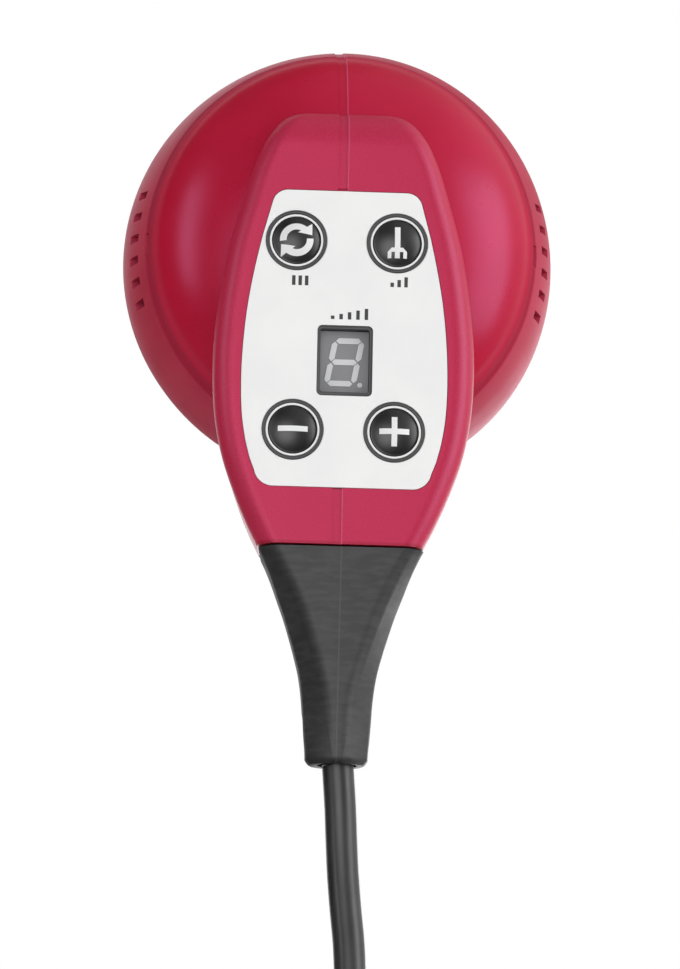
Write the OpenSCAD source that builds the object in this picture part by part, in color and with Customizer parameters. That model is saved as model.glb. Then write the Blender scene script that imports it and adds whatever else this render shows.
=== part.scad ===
// Hand-held pet dryer: round fan body, spine handle with control panel, rubber boot and cord.
// +Z is up, +Y is the way the air blows, and the origin is the middle of the grip.

/* [Body] */
// Height of the fan axis above the grip's middle
axis_z = 53.6; // [53:0.1:54]
// Radius of the rear dome at its rim
rim_r = 39.4; // [38:0.1:40]
// Place of the rear dome's rim along the axis
rim_y = 5.7; // [5:0.1:6.5]
// Depth of the rear dome
dome_h = 17.7; // [16:0.1:18.5]
// Largest radius of the body
body_r = 45; // [44.5:0.1:46]
// Height by which the body's upper half is raised
crown_lift = 1.6; // [1.2:0.1:1.8]
// Wall thickness of the housing
wall = 2.2; // [1.8:0.1:2.4]

/* [Intake] */
// Number of intake slots on each side
slot_count = 6; // [3:1:7]
// Angle between two neighbouring slots, in degrees
slot_step = 6; // [5.5:0.5:7]
// Length of one slot along the fan axis
slot_length = 5; // [4:0.5:6]
// Width of one slot
slot_w = 2; // [1.6:0.1:3]

/* [Handle] */
// Rear face of the handle, behind the grip's middle
rear_y = 15; // [15:0.1:15.3]
// Top of the handle
handle_top = 78; // [77:0.1:79]
// Bottom of the handle, where the boot begins
handle_bottom = -12.1; // [-12.5:0.1:-11.9]

/* [Controls] */
// Distance of the buttons' centres from the mid-plane
button_x = 10.2; // [10:0.1:10.4]
// Height of the upper pair of buttons
button_top_z = 50; // [49.5:0.1:50.5]
// Height of the lower pair of buttons
button_low_z = 11; // [10.8:0.1:11.5]
// Radius of a button cap
cap_r = 4.8; // [4.5:0.05:4.9]
// Travel of a button
travel = 0.7; // [0.3:0.1:0.8]
// Height of the display's centre
display_z = 25.4; // [25:0.1:26]

/* [Air path] */
// Radius of the fan's blade tips
fan_r = 30.2; // [28:0.1:30.4]
// Number of fan blades
blade_count = 9; // [5:1:11]
// Number of guide vanes behind the fan
vane_count = 7; // [5:1:9]
// Radius of the outlet spigot
spigot_r = 24; // [23.7:0.1:24.5]
// Front end of the outlet nozzle along the axis
nozzle_end = 104; // [102:1:110]

/* [Cord] */
// Diameter of the mains cord
cord_d = 6.4; // [6:0.1:6.4]
// Number of turns in each layer of the tied hank
turns_per_layer = 2; // [2:1:2]
// Number of layers in the hank
layer_count = 4; // [2:2:4]

/* [Hidden] */
$fn = 72;
sliver = 0.01;
cord_r = cord_d / 2;
dome_steps = 12;
widest_y = 22.8;
slot_y = 9.2;
front_y = 26;
shell_end = 70;
lip_r = rim_r + 1.2;
lip_y = rim_y + 1.7;
front_slope = 0.22;
front_curve = 0.00094;
axis_bore = 1.52;
side_draft = 0.11;
crown_z = 70;
crown_roll = 5.5;
neck_z = handle_bottom + 2.7;
boot_end = -55.1;
collar_r = 6.3;
panel_front = -14.95;
panel_back = -14.05;
board_rear = -5.1;
board_front = -3.5;
display_face = -13.2;

BUTTONS = [
    [-button_x, button_top_z],
    [button_x, button_top_z],
    [-button_x, button_low_z],
    [button_x, button_low_z]
];

// Half-widths of the handle at the heights where its outline changes
HANDLE_SIDE = [
    [-12.1, 16.7], [-8, 18.8], [-2, 21.4], [6, 24.2], [14, 25.8], [22, 26.4],
    [30, 26.3], [40, 25.3], [50, 23.6], [60, 20.9], [66, 19.1], [70, 17.5],
    [72, 16.5], [74, 15.2], [75.7, 13.9], [77, 12.4], [77.8, 10.8]
];

// Half-widths of the control panel between its rounded corners
PANEL_SIDE = [
    [17, 51], [18.4, 44.5], [19.6, 37.5], [20.4, 30], [20.75, 22], [20.5, 14.5], [19.7, 9], [18.7, 5]
];

// Half-widths of the boot, from the cord up to the handle
BOOT_SIDE = [
    [-55.1, 5.6], [-54.1, 6.4], [-52.1, 6.8], [-47.1, 6.9], [-42.1, 7.2], [-37.1, 7.9], [-33.1, 8.9],
    [-29.1, 10.1], [-25.1, 11.4], [-21.1, 12.9], [-17.6, 14.2], [-14.6, 15.5], [-12.5, 16.6]
];

// Screw bosses that join the two halves, as [y, height]
BOSSES = [[32, 15], [36.5, 91], [60, 22.6], [60, 84.6], [9.5, 2]];

// ---------- shared functions ----------

// Outline of a box section with rounded corners: rear corners rr, front corners rf
function box_section(half, back, front, rr, rf, n = 5) = concat(
    [for (i = [0:n]) [half - rf + rf * cos(90 * i / n), front - rf + rf * sin(90 * i / n)]],
    [for (i = [0:n]) [rf - half - rf * sin(90 * i / n), front - rf + rf * cos(90 * i / n)]],
    [for (i = [0:n]) [rr - half - rr * cos(90 * i / n), back + rr - rr * sin(90 * i / n)]],
    [for (i = [0:n]) [half - rr + rr * sin(90 * i / n), back + rr - rr * cos(90 * i / n)]]
);

// Radius of the skirt between the rim and the widest ring
function skirt_r(y) = body_r - (body_r - lip_r) * pow(max(widest_y - y, 0) / (widest_y - lip_y), 2);

// Radius of the front of the body
function front_r(y) = let (d = y - front_y + 2) body_r - front_slope * d - front_curve * d * d;

// Outline drawn in by t, and by a growing share of pinch towards the front
function shell_outline(t, pinch) = concat(
    [for (i = [0:dome_steps]) let (a = 90 * i / dome_steps)
        [(rim_r - t) * sin(a), rim_y - (dome_h - t) * cos(a)]],
    [for (y = [lip_y:2.2:widest_y]) [skirt_r(y) - t, y]],
    [for (y = [front_y:4:shell_end]) [front_r(y) - t - pinch * (y - widest_y) / (shell_end - widest_y), y]]
);

// Rows of points joined into one closed tube of triangles
module skin(rings) {
    n = len(rings[0]);
    m = len(rings);
    sides = [for (j = [0:m - 2]) for (i = [0:n - 1]) let (k = (i + 1) % n)
        each [[j * n + i, (j + 1) * n + k, j * n + k], [j * n + i, (j + 1) * n + i, (j + 1) * n + k]]];
    polyhedron(
        points = [for (ring = rings) each ring],
        faces = concat([[for (i = [0:n - 1]) i]], sides, [[for (i = [n - 1:-1:0]) (m - 1) * n + i]])
    );
}

// Round tube of the given radius swept along points, seen square to the ref direction
module tube(path, r, sides, ref) {
    last = len(path) - 1;
    rings = [for (i = [0:last])
        let (
            t = path[min(i + 1, last)] - path[max(i - 1, 0)],
            u = cross(t, ref) / norm(cross(t, ref)),
            v = cross(t, u) / norm(cross(t, u))
        )
        [for (k = [0:sides - 1]) path[i] + r * (cos(360 * k / sides) * u + sin(360 * k / sides) * v)]
    ];
    skin(rings);
}

module on_axis() {
    translate([0, 0, axis_z]) rotate([-90, 0, 0]) children();
}

// A ring or disc on the fan axis
module ring(r_in, r_out, y0, y1) {
    on_axis() translate([0, 0, y0]) difference() {
        cylinder(h = y1 - y0, r = r_out);
        if (r_in > 0) translate([0, 0, -1]) cylinder(h = y1 - y0 + 2, r = r_in);
    }
}

// A round post along +Y from y0 to y1, at [x, z]
module post(at, r, y0, y1) {
    translate([at[0], y0, at[1]]) rotate([-90, 0, 0]) cylinder(h = y1 - y0, r = r, $fn = 48);
}

// A box given by its lowest and highest corners
module block(low, high) {
    translate(low) cube(high - low);
}

// ---------- housing ----------

// Share of its half-width that a section keeps at depth y, narrower towards the front
function draft(y) = 1 - side_draft * max(0, y + 9) / 24;

// Handle as a closed form, drawn in by t on every side, with its top rolled over to the front
module handle_form(t, bottom) {
    crown = handle_top - crown_z;
    skin([for (s = concat(HANDLE_SIDE, [[handle_top, 9.2]]))
        let (
            up = max(s[0] - crown_z, 0) / crown,
            z = s[0] > crown_z ? crown_z + up * (crown - t) : max(s[0], bottom),
            back = t - rear_y + crown_roll * (1 - sqrt(1 - up * up)),
            front = lookup(s[0], [[handle_bottom, 10], [4, 15]]) - t
        )
        [for (p = box_section(s[1] - t, back, front, 6 - t, 9 - t)) [p[0] * draft(p[1]), p[1], z]]]);
}

// The round body, a little taller above the fan axis than below it
module shell_solid(t) {
    for (lift = [0, crown_lift]) translate([0, 0, lift]) on_axis() rotate_extrude($fn = 144)
        polygon(concat(shell_outline(t, 1.1 * lift), [[0, shell_end]]));
}

// The whole housing, with the bosses as one side has them
module housing_form(side) {
    difference() {
        union() {
            shell_solid(0);
            handle_form(0, handle_bottom);
        }
        difference() {
            union() {
                shell_solid(wall);
                handle_form(wall, neck_z - 0.2);
                ring(0, front_r(shell_end) - wall, shell_end - 1, shell_end + 1);
            }
            housing_ribs(side);
        }
        intake_slots();
        rim_notches();
        panel_pocket();
        block([-11.2, -9.2, neck_z - 4], [11.2, 4.2, neck_z + 0.3]);
        for (b = BOSSES) translate([0, b[0], b[1]]) rotate([0, 90, 0]) screw_hole(side);
        for (x = [-8, 8]) post([x, 1], 1.02, -12, -6);
        if (side < 0) translate([-5, -6, 70.3]) rotate([0, 90, 0]) cylinder(h = 6, r = 1.7, $fn = 48);
    }
}

// Deep recess and through hole on the left, pilot hole on the right
module screw_hole(side) {
    if (side < 0) rotate_extrude($fn = 48)
        polygon([[0, -60], [3.1, -60], [3.1, -4], [1.7, -4], [1.7, 2], [0, 2]]);
    else translate([0, 0, -1]) cylinder(h = 9, r = 1.52, $fn = 48);
}

// Ribs and posts inside the housing that carry the pieces
module housing_ribs(side) {
    boss_r = side < 0 ? 4.4 : 3.2;
    difference() {
        for (y = [46.2, 50.2]) ring(34, 44, y, y + 1.6);
        for (x = [-5, 5]) post([x, 19.4], 1.5, 46, 52);
    }
    for (y = [21.8, 27.3]) on_axis() for (a = [45:90:315]) rotate([0, 0, a - 12]) translate([0, 0, y])
        rotate_extrude(angle = 24) translate([39.6, 0]) square([6, 1.9]);
    for (b = BOSSES) translate([-30, b[0], b[1]]) rotate([0, 90, 0]) cylinder(h = 60, r = boss_r, $fn = 48);
    translate([-30, -6, 70.3]) rotate([0, 90, 0]) cylinder(h = 60, r = 3.2, $fn = 48);
    for (x = [-14, 14]) for (z = [22, 38]) {
        post([x, z], 2, -14, board_rear);
        post([x, z], 1, board_rear - 1, board_front + 0.6);
    }
    for (x = [-8, 8]) post([x, 1], 2.4, -14, -6.2);
    block([-4, -14, -2], [4, -6.4, 4]);
    for (s = [-1, 1]) difference() {
        block([s < 0 ? -24 : 15.4, 2.4, 12], [s < 0 ? -15.4 : 24, 7.2, 28]);
        block([-16.4, 3.9, 11], [16.4, 5.7, 29]);
    }
}

module intake_slots() {
    for (side = [0, 180]) for (i = [0:slot_count - 1])
        on_axis() rotate([0, 0, side + slot_step * (i - (slot_count - 1) / 2)])
            translate([38, -slot_w / 2, slot_y]) cube([12, slot_w, slot_length]);
}

// Small notches in the rim's lip at both sides
module rim_notches() {
    for (side = [0, 180]) on_axis() rotate([0, 0, side]) translate([rim_r, -2.3, 4])
        cube([4, 4.6, 3.5]);
}

module panel_pocket() {
    post_depth = panel_back + 0.05;
    translate([0, post_depth, 0]) rotate([90, 0, 0]) linear_extrude(3) polygon(panel_outline(0.12));
    for (b = BUTTONS) post(b, cap_r + 0.3, -16, -11);
    display_plate(5.6, 7.25, 1, -16, -11);
    for (z = [60.4, -1]) block([-2, -16, z], [0, -14.4, z + 0.7]);
}

// One half of the housing: side is -1 for the left one and +1 for the right one
module housing_half(side) {
    intersection() {
        housing_form(side);
        block([side < 0 ? -60 : 0, -30, -20], [side < 0 ? 0 : 60, 90, 110]);
    }
}

module left_housing() {
    color("crimson") housing_half(-1);
}

// The right half carries a peg that enters the left half at the handle's top
module right_housing() {
    color("crimson") union() {
        housing_half(1);
        translate([-4, -6, 70.3]) rotate([0, 90, 0]) cylinder(h = 5, r = 1.65, $fn = 48);
    }
}

// Pan-head screws from the left, in their deep recesses
module housing_screws() {
    color("silver") for (b = BOSSES) translate([0, b[0], b[1]]) rotate([0, 90, 0]) {
        translate([0, 0, -6.2]) difference() {
            cylinder(h = 2.2, r = 2.8, $fn = 48);
            for (a = [0, 90]) rotate([0, 0, a]) translate([-1.8, -0.35, -1]) cube([3.6, 0.7, 2]);
        }
        translate([0, 0, -4 - sliver]) cylinder(h = 11, r = 1.5, $fn = 48);
    }
}

// ---------- control panel ----------

function panel_outline(g) = let (
    arc_top = [for (a = [90:-15:15]) [12 + (3.2 + g) * cos(a), 57.3 + (3.2 + g) * sin(a)]],
    side = [for (p = PANEL_SIDE) [p[0] + g, p[1]]],
    arc_low = [for (a = [-10:-20:-90]) [14 + (3.8 + g) * cos(a), 3.2 + (3.8 + g) * sin(a)]],
    right = concat(arc_top, side, arc_low)
) concat(right, [for (i = [len(right) - 1:-1:0]) [-right[i][0], right[i][1]]]);

module control_panel() {
    color("whitesmoke") difference() {
        translate([0, panel_back, 0]) rotate([90, 0, 0])
            linear_extrude(panel_back - panel_front) polygon(panel_outline(0));
        for (b = BUTTONS) {
            post(b, cap_r + 0.3, -16, -13);
            difference() {
                post(b, 6.25, -16, -14.5);
                post(b, 5.4, -17, -14);
            }
        }
        display_plate(5.6, 7.25, 1, -16, -13);
    }
}

module button_trim_rings() {
    color("dimgray") for (b = BUTTONS) difference() {
        post(b, 6.15, -15.1, -14.5);
        post(b, 5.5, -16, -14);
    }
}

// Domed cap with its collar behind the wall and a stem towards the switch
module button_cap(at) {
    color("black") translate([at[0], 0, at[1]]) rotate([-90, 0, 0]) rotate_extrude($fn = 96) polygon(concat(
        [for (a = [0:15:90]) [cap_r * sin(a), -15.1 - 0.8 * cos(a)]],
        [[cap_r, -12.4], [5.7, -12.4], [5.7, -11.6], [1.7, -11.6], [1.7, -9.4], [0, -9.4]]
    ));
}

module switch_plunger(at) {
    color("gold") post(at, 1.5, -9.4, -8);
}

module heat_button() { button_cap(BUTTONS[0]); }
module boost_button() { button_cap(BUTTONS[1]); }
module slower_button() { button_cap(BUTTONS[2]); }
module faster_button() { button_cap(BUTTONS[3]); }
module heat_plunger() { switch_plunger(BUTTONS[0]); }
module boost_plunger() { switch_plunger(BUTTONS[1]); }
module slower_plunger() { switch_plunger(BUTTONS[2]); }
module faster_plunger() { switch_plunger(BUTTONS[3]); }

module switch_bodies() {
    color("silver") for (b = BUTTONS) difference() {
        block([b[0] - 3, -8.7, b[1] - 3], [b[0] + 3, board_rear, b[1] + 3]);
        post(b, 1.9, -9, -8 + travel + 0.3);
    }
}

// A plate with rounded corners that faces -Y, centred on the display
module display_plate(half_w, half_h, r, y0, y1) {
    translate([0, y1, display_z]) rotate([90, 0, 0]) linear_extrude(y1 - y0) rounded(half_w, half_h, r);
}

module rounded(half_w, half_h, r) {
    square([2 * half_w, 2 * (half_h - r)], center = true);
    square([2 * (half_w - r), 2 * half_h], center = true);
    for (x = [r - half_w, half_w - r]) for (y = [r - half_h, half_h - r])
        translate([x, y]) circle(r = r, $fn = 48);
}

module display_bezel() {
    color("black") difference() {
        display_plate(5.5, 7.15, 0.9, panel_front, -12.4);
        display_plate(4.96, 6.5, 0.5, -16, -12);
    }
}

module display_module() {
    color("gray") block([-4.9, display_face, display_z - 6.4], [4.9, display_face + 6, display_z + 6.4]);
    color("silver") for (x = [-2.5:1.25:2.5]) for (z = [-5, 5])
        post([x, display_z + z], 0.25, display_face + 6 - sliver, board_rear);
}

// Seven slanted bars and a point, laid on the display's face
module display_segments() {
    slant = 0.19;
    across = 5.4;
    high = 4.4;
    gap = 0.3;
    w = 1.15;
    color("gainsboro") translate([0, display_face, display_z]) rotate([90, 0, 0]) linear_extrude(0.12) {
        for (k = [-1:1]) translate([k * high * slant, k * high]) segment_bar(across - gap, w);
        for (s = [-1, 1]) for (k = [-0.5, 0.5]) translate([s * across / 2 + k * high * slant, k * high])
            multmatrix([[1, slant, 0, 0], [0, 1, 0, 0], [0, 0, 1, 0], [0, 0, 0, 1]])
                rotate(90) segment_bar(high - gap, w);
        translate([3.2, -4.65]) circle(r = 0.5, $fn = 32);
    }
}

module segment_bar(length, w) {
    tip = w / 2;
    polygon([[-length / 2, 0], [tip - length / 2, tip], [length / 2 - tip, tip],
        [length / 2, 0], [length / 2 - tip, -tip], [tip - length / 2, -tip]]);
}

module control_board() {
    color("darkgreen") difference() {
        translate([0, board_front, 0]) rotate([90, 0, 0]) linear_extrude(board_front - board_rear)
            polygon([[-16, 5], [16, 5], [18, 24], [15.5, 57], [-15.5, 57], [-18, 24]]);
        for (x = [-14, 14]) for (z = [22, 38]) post([x, z], 1.1, -6, -3);
        for (x = [-2.5:1.25:2.5]) for (z = [-5, 5]) post([x, display_z + z], 0.3, -6, -4.6);
    }
}

// ---------- power electronics in the handle ----------

module power_board() {
    color("darkgreen") block([-16, 4, 8], [16, 5.6, 31]);
}

module filter_capacitor() {
    color("goldenrod") block([-14, 5.6, 18], [-2, 11.6, 30]);
}

module choke() {
    color("peru") translate([7, 5.6, 23.5]) rotate([-90, 0, 0]) difference() {
        cylinder(h = 6, r = 5.5);
        translate([0, 0, -1]) cylinder(h = 8, r = 2.4);
    }
}

module triac() {
    color("black") block([-5, 0, 18], [5, 4, 27]);
}

module heat_sink() {
    color("silver") union() {
        block([-13, -1, 14], [13, 0, 31]);
        for (x = [-12.5:5:12.5]) block([x - 0.5, -2.6, 14], [x + 0.5, -0.9, 31]);
    }
}

// Flat ribbon between the two boards, with a soft loop below them
module ribbon_cable() {
    path = [[11.5, -3.3, 11], [11.5, -1.7, 10], [11.5, 0.2, 9.7], [11.5, 2.2, 10.2], [11.5, 3.8, 11.4]];
    color("gray") tube_band(path, 3, 0.4);
}

// Flat strip of the given half-width and thickness along points in the YZ plane
module tube_band(path, half, thick) {
    last = len(path) - 1;
    skin([for (i = [0:last])
        let (
            t = path[min(i + 1, last)] - path[max(i - 1, 0)],
            n = thick / 2 * [0, -t[2], t[1]] / norm(t)
        )
        [path[i] + [half, 0, 0] - n, path[i] - [half, 0, 0] - n,
            path[i] - [half, 0, 0] + n, path[i] + [half, 0, 0] + n]
    ]);
}

module mains_wires() {
    for (s = [-1, 1]) color(s < 0 ? "saddlebrown" : "royalblue")
        tube([[s * 1.6, -2.2, 4.8], [s * 1.7, -2, 6.4], [s * 2.6, -1.2, 8.8], [s * 4.6, 1, 10.8],
            [s * 6, 3.6, 11.2]], 0.8, 8, [1, 0, 0]);
}

module motor_wires() {
    for (s = [-1, 1]) color(s < 0 ? "crimson" : "dimgray")
        tube([[s * 14.5, 3.6, 29], [s * 14.5, 1, 30.5], [s * 14.5, -1, 34], [s * 13, -1, 42],
            [s * 10.5, 0.4, 48], [s * 10, 2, 49.5]], 0.8, 8, [1, 0, 0]);
}

module heater_wires() {
    for (s = [-1, 1]) color("white")
        tube([[s * 4.5, 5.8, 13], [s * 4.5, 8, 13], [s * 5, 14, 15], [s * 5, 20, 18.8], [s * 5, 26, 20.6],
            [s * 5, 31, 20.8], [s * 5, 34, 20.3], [s * 5, 38, 19.6], [s * 5, 49.6, 19.4], [s * 5, 52, 20.2],
            [s * 5, 53, 22.6], [s * 5, 53.3, 27], [s * 4.8, 54.2, 31],
            [s * 4.2, 57.5, 34], [s * 2.6, 61, 35.8], [s * 1.3, 63.4, 37]],
            0.8, 8, [1, 0, 0]);
}

// ---------- motor ----------

module motor_can() {
    color("silver") on_axis() rotate_extrude() polygon([
        [15.3, 6], [16.5, 6], [16.5, 31.4], [15.9, 32], [3, 32], [3, 31.3], [5.05, 31.3], [5.05, 27],
        [6.3, 27], [6.3, 30.6], [15.3, 30.6]
    ]);
}

module motor_end_cap() {
    color("black") difference() {
        on_axis() rotate_extrude() polygon([
            [0, 2], [15.9, 2], [16.4, 2.5], [16.4, 5.98], [15.2, 5.98], [15.2, 8], [13.4, 8], [13.4, 5.6],
            [6.6, 5.6], [6.6, 7.3], [5.05, 7.3], [5.05, 3.4], [2, 3.4], [2, 2.8], [0, 2.8]
        ]);
        for (s = [-1, 1]) translate([s * 10, 1, 49.5]) rotate([-90, 0, 0]) cylinder(h = 6, r = 1.1, $fn = 32);
    }
}

module motor_magnets() {
    color("dimgray") for (a = [20, 200]) on_axis() rotate([0, 0, a]) translate([0, 0, 13])
        rotate_extrude(angle = 140) translate([12.4, 0]) square([2.8, 13]);
}

module armature_core() {
    color("slategray") difference() {
        ring(axis_bore, 11.8, 15, 24);
        on_axis() for (a = [0:45:315]) rotate([0, 0, a]) translate([5, -1, 14]) cube([8, 2, 11]);
    }
}

module armature_winding() {
    color("chocolate") for (y = [12.6, 24]) ring(4.6, 10.4, y + 0.02, y + 2.36);
}

module commutator() {
    color("peru") difference() {
        ring(axis_bore, 4, 8.2, 12.5);
        on_axis() for (a = [0:60:300]) rotate([0, 0, a]) translate([3, -0.2, 8]) cube([2, 0.4, 3.8]);
    }
}

module motor_shaft() {
    color("silver") ring(0, 1.5, 3.6, 46.5);
}

module rear_bearing() {
    color("silver") ring(1.55, 5, 3.42, 7.2);
}

module front_bearing() {
    color("silver") ring(1.55, 5, 27.2, 31.2);
}

module carbon_brushes() {
    color("black") for (s = [-1, 1])
        block([s > 0 ? 4.3 : -12.5, 8.4, axis_z - 1.6], [s > 0 ? 12.5 : -4.3, 11.6, axis_z + 1.6]);
}

module motor_rubber_rings() {
    color("black") for (y = [8, 25]) ring(16.55, 18.45, y, y + 4);
}

// Sleeve round the motor, held by four arms and an outer ring between ribs of the housing
module motor_cradle() {
    color("gainsboro") union() {
        ring(18.5, 20, 7, 30);
        ring(36.5, 39.2, 24, 27);
        on_axis() for (a = [45:90:315]) rotate([0, 0, a]) {
            translate([19.4, -3, 24]) cube([18, 6, 3]);
            translate([38, -4, 24]) cube([3.6, 8, 3]);
        }
    }
}

// ---------- fan and air path ----------

module fan_impeller() {
    color("whitesmoke") difference() {
        union() {
            ring(0, 13.5, 37, 47);
            on_axis() intersection() {
                for (k = [0:blade_count - 1]) rotate([0, 0, 360 * k / blade_count]) translate([0, 0, 42])
                    rotate([38, 0, 0]) translate([12, -0.7, -7.4]) cube([20, 1.4, 14.8]);
                translate([0, 0, 37.4]) cylinder(h = 9.2, r = fan_r);
            }
        }
        ring(0, 6, 43, 48);
        ring(0, axis_bore, 36, 44);
        ring(7.2, 12, 36, 45.4);
    }
}

module fan_nut() {
    color("silver") on_axis() translate([0, 0, 43.05]) difference() {
        cylinder(h = 2.4, r = 3.6, $fn = 6);
        translate([0, 0, -1]) cylinder(h = 5, r = axis_bore, $fn = 48);
    }
}

// Duct round the fan that narrows to the heater, with guide vanes on a middle hub
module fan_duct() {
    color("gainsboro") difference() {
        union() {
            on_axis() rotate_extrude($fn = 120) polygon([
                [31, 34.6], [31.6, 34], [32.4, 34], [32.4, 48], [36.1, 48], [36.1, 50], [32.6, 50],
                [23.6, 60], [23.6, 64], [21.9, 64], [21.9, 60], [31, 50]
            ]);
            on_axis() intersection() {
                for (k = [0:vane_count - 1]) rotate([0, 0, 360 * k / vane_count + 10]) translate([0, 0, 52.6])
                    rotate([-22, 0, 0]) translate([12, -0.6, -5]) cube([20, 1.2, 8.6]);
                rotate_extrude() polygon([[0, 48.6], [31.6, 48.6], [31.6, 50], [24.6, 57.4], [0, 57.4]]);
            }
            on_axis() rotate_extrude() polygon([
                [12, 48.6], [13.6, 48.6], [13.6, 54], [10, 57], [0, 57], [0, 55.6], [9.4, 55.6], [12, 53.4]
            ]);
        }
        for (x = [-5, 5]) {
            post([x, 19.4], 1.2, 47, 51);
            translate([x, 53.2, 18]) cylinder(h = 12, r = 1.4, $fn = 32);
        }
    }
}

module heat_shield() {
    color("tan") ring(21.1, 21.7, 60.4, 92);
}

// Two mica boards slotted into each other as a cross
module heater_boards() {
    color("tan") on_axis() for (a = [0, 90]) rotate([0, 0, a]) difference() {
        union() {
            translate([-17.8, -0.4, 62]) cube([35.6, 0.8, 28]);
            for (y = [62, 87.4]) translate([-20.8, -0.4, y]) cube([41.6, 0.8, 2.6]);
        }
        translate([-0.45, -1, a > 0 ? 61 : 76]) cube([0.9, 2, 15]);
    }
}

module heater_coil() {
    turns = 8;
    steps = 24;
    coil_r = 18.7;
    pitch = 2.4;
    wire_r = 0.5;
    path = [for (i = [0:turns * steps])
        [coil_r * cos(360 * i / steps), 66.5 + pitch * i / steps, axis_z + coil_r * sin(360 * i / steps)]];
    echo(heater_coil_least_gap = pitch - 2 * wire_r);
    color("darkgoldenrod") tube(path, wire_r, 6, [0, 1, 0]);
}

module thermostat() {
    color("black") translate([9, 72, axis_z + 0.45]) cylinder(h = 3.2, r = 4.4);
}

module thermal_fuse() {
    color("silver") post([-9, axis_z + 2.1], 1.6, 68, 77);
}

module outlet_nozzle() {
    sweep = 8;
    outer = [for (i = [0:sweep]) let (a = 90 * i / sweep)
        [spigot_r + 8.6 * (1 - sin(a)), 71.4 + 14 * (1 - cos(a))]];
    inner = [for (i = [0:sweep]) let (a = 90 - 90 * i / sweep)
        [22.3 + 7 * (1 - sin(a)), 70.4 + 13 * (1 - cos(a))]];
    color("dimgray") on_axis() rotate_extrude($fn = 144) polygon(concat(
        [[30.2, 66.5], [30.2, 70.15], [spigot_r + 8.6, 70.15]],
        outer,
        [[spigot_r, nozzle_end - 0.6], [spigot_r - 0.6, nozzle_end], [22.3, nozzle_end]],
        inner,
        [[28.4, 66.5]]
    ));
}

module outlet_grille() {
    color("dimgray") union() {
        ring(20.6, 22.2, 95, 98);
        for (r = [4.4, 9.6, 14.8]) ring(r, r + 1.3, 95.4, 97.6);
        on_axis() for (a = [0:60:300]) rotate([0, 0, a]) translate([5, -0.6, 95.4]) cube([16, 1.2, 2.2]);
    }
}

// Fine foam strips behind the intake slots
module intake_filters() {
    color("dimgray") for (side = [-18, 162]) on_axis() rotate([0, 0, side]) rotate_extrude(angle = 36)
        polygon(concat(
            [for (y = [lip_y:2.2:slot_y + 7]) [skirt_r(y) - wall - 0.2, y]],
            [for (y = [slot_y + 7:-2.2:lip_y]) [skirt_r(y) - wall - 1.4, y]]
        ));
}

// ---------- cord ----------

// Sideways set of the soft boot below the handle
function boot_lean(z) = let (u = min(max((-12.5 - z) / 12, 0), 1)) 0.4 * u * u * (3 - 2 * u);

module cord_boot() {
    color("dimgray") difference() {
        union() {
            skin([for (s = BOOT_SIDE) let (
                    f = max(s[0] - boot_end, 0) / 42.6,
                    nose = collar_r - min(s[1], collar_r),
                    back = -9.3 - 5.3 * pow(f, 1.3) + nose,
                    front = 3.3 + 6.3 * pow(f, 1.6) - nose,
                    r = min(5 + 1.25 * (1 - f), s[1] - 0.05, (front - back) / 2 - 0.05)
                )
                [for (p = box_section(s[1], back, front, r, r))
                    [p[0] * (1 - f + f * draft(p[1])) + boot_lean(s[0]), p[1], s[0]]]]);
            block([-11, -9, neck_z - 4], [11, 4, neck_z]);
            block([-12.8, -11, neck_z], [12.8, 6, neck_z + 2.3]);
        }
        along_cord() post_down([0, -3], cord_r + 0.08, boot_end - 1, neck_z + 3);
        post_down([0.6, -3], 4, boot_end - 1, boot_end + 3);
    }
}

// A round post along Z at [x, y]
module post_down(at, r, z0, z1) {
    translate([at[0], at[1], z0]) cylinder(h = z1 - z0, r = r, $fn = 48);
}

// The cord leaves the boot a little to the right of where it is clamped
cord_top = 4.6;
cord_set = 0.8;

module along_cord() {
    translate([0, -3, cord_top]) rotate([0, -atan(cord_set / (cord_top - boot_end)), 0])
        translate([0, 3, -cord_top]) children();
}

module cord_entry() {
    color("dimgray") along_cord() post_down([0, -3], cord_r, boot_end, cord_top);
}

module cord_clamp() {
    color("black") difference() {
        block([-10.6, -6.15, -2], [10.6, 2.4, 4]);
        along_cord() {
            post_down([0, -3], cord_r + 0.03, -3, 5);
            block([-cord_r - 0.03, -7, -3], [cord_r + 0.03, -3, 5]);
        }
        for (x = [-8, 8]) post([x, 1], 1.15, -8, 4);
    }
}

module clamp_screws() {
    color("silver") for (x = [-8, 8]) {
        post([x, 1], 1, -11, 2.4 + sliver);
        post([x, 1], 2, 2.4, 4);
    }
}

hank_z = -170;
hank_y = 10;
hank_half = 28;
hank_in = 19.5;
hank_pitch = 9.2;
layer_pitch = 7;
waist = 0.16;
loop_steps = 24;

// Route of the hanging stretch, from the boot to the hank
DROP = [
    [cord_set, -3, boot_end], [1.2, -3, -60], [1.5, -3, -64], [1.8, -3.2, -70], [2.2, -3.8, -77],
    [2.8, -4.8, -84], [3.5, -6, -91], [3.8, -7, -98], [3.7, -7.6, -105], [2.9, -7.8, -113], [1.4, -7.8, -122],
    [-1, -7.8, -131], [-3.9, -7.8, -140], [-7, -7.7, -149], [-10.2, -7.1, -158], [-13, -5.8, -167],
    [-15.3, -4, -175], [-17.4, -2, -182.5], [-19, -0.8, -188], [-19.5, -0.5, -191.6]
];

// Route of the tail, from the last bend of the hank to the plug
TAIL = [
    [-20.6, 21.1, -150], [-19.2, 22.6, -158], [-17.8, 24.8, -165], [-16.6, 27.2, -172],
    [-15.7, 29, -179], [-15.5, 29.6, -184], [-15.5, 29.6, -190.4]
];

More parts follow.
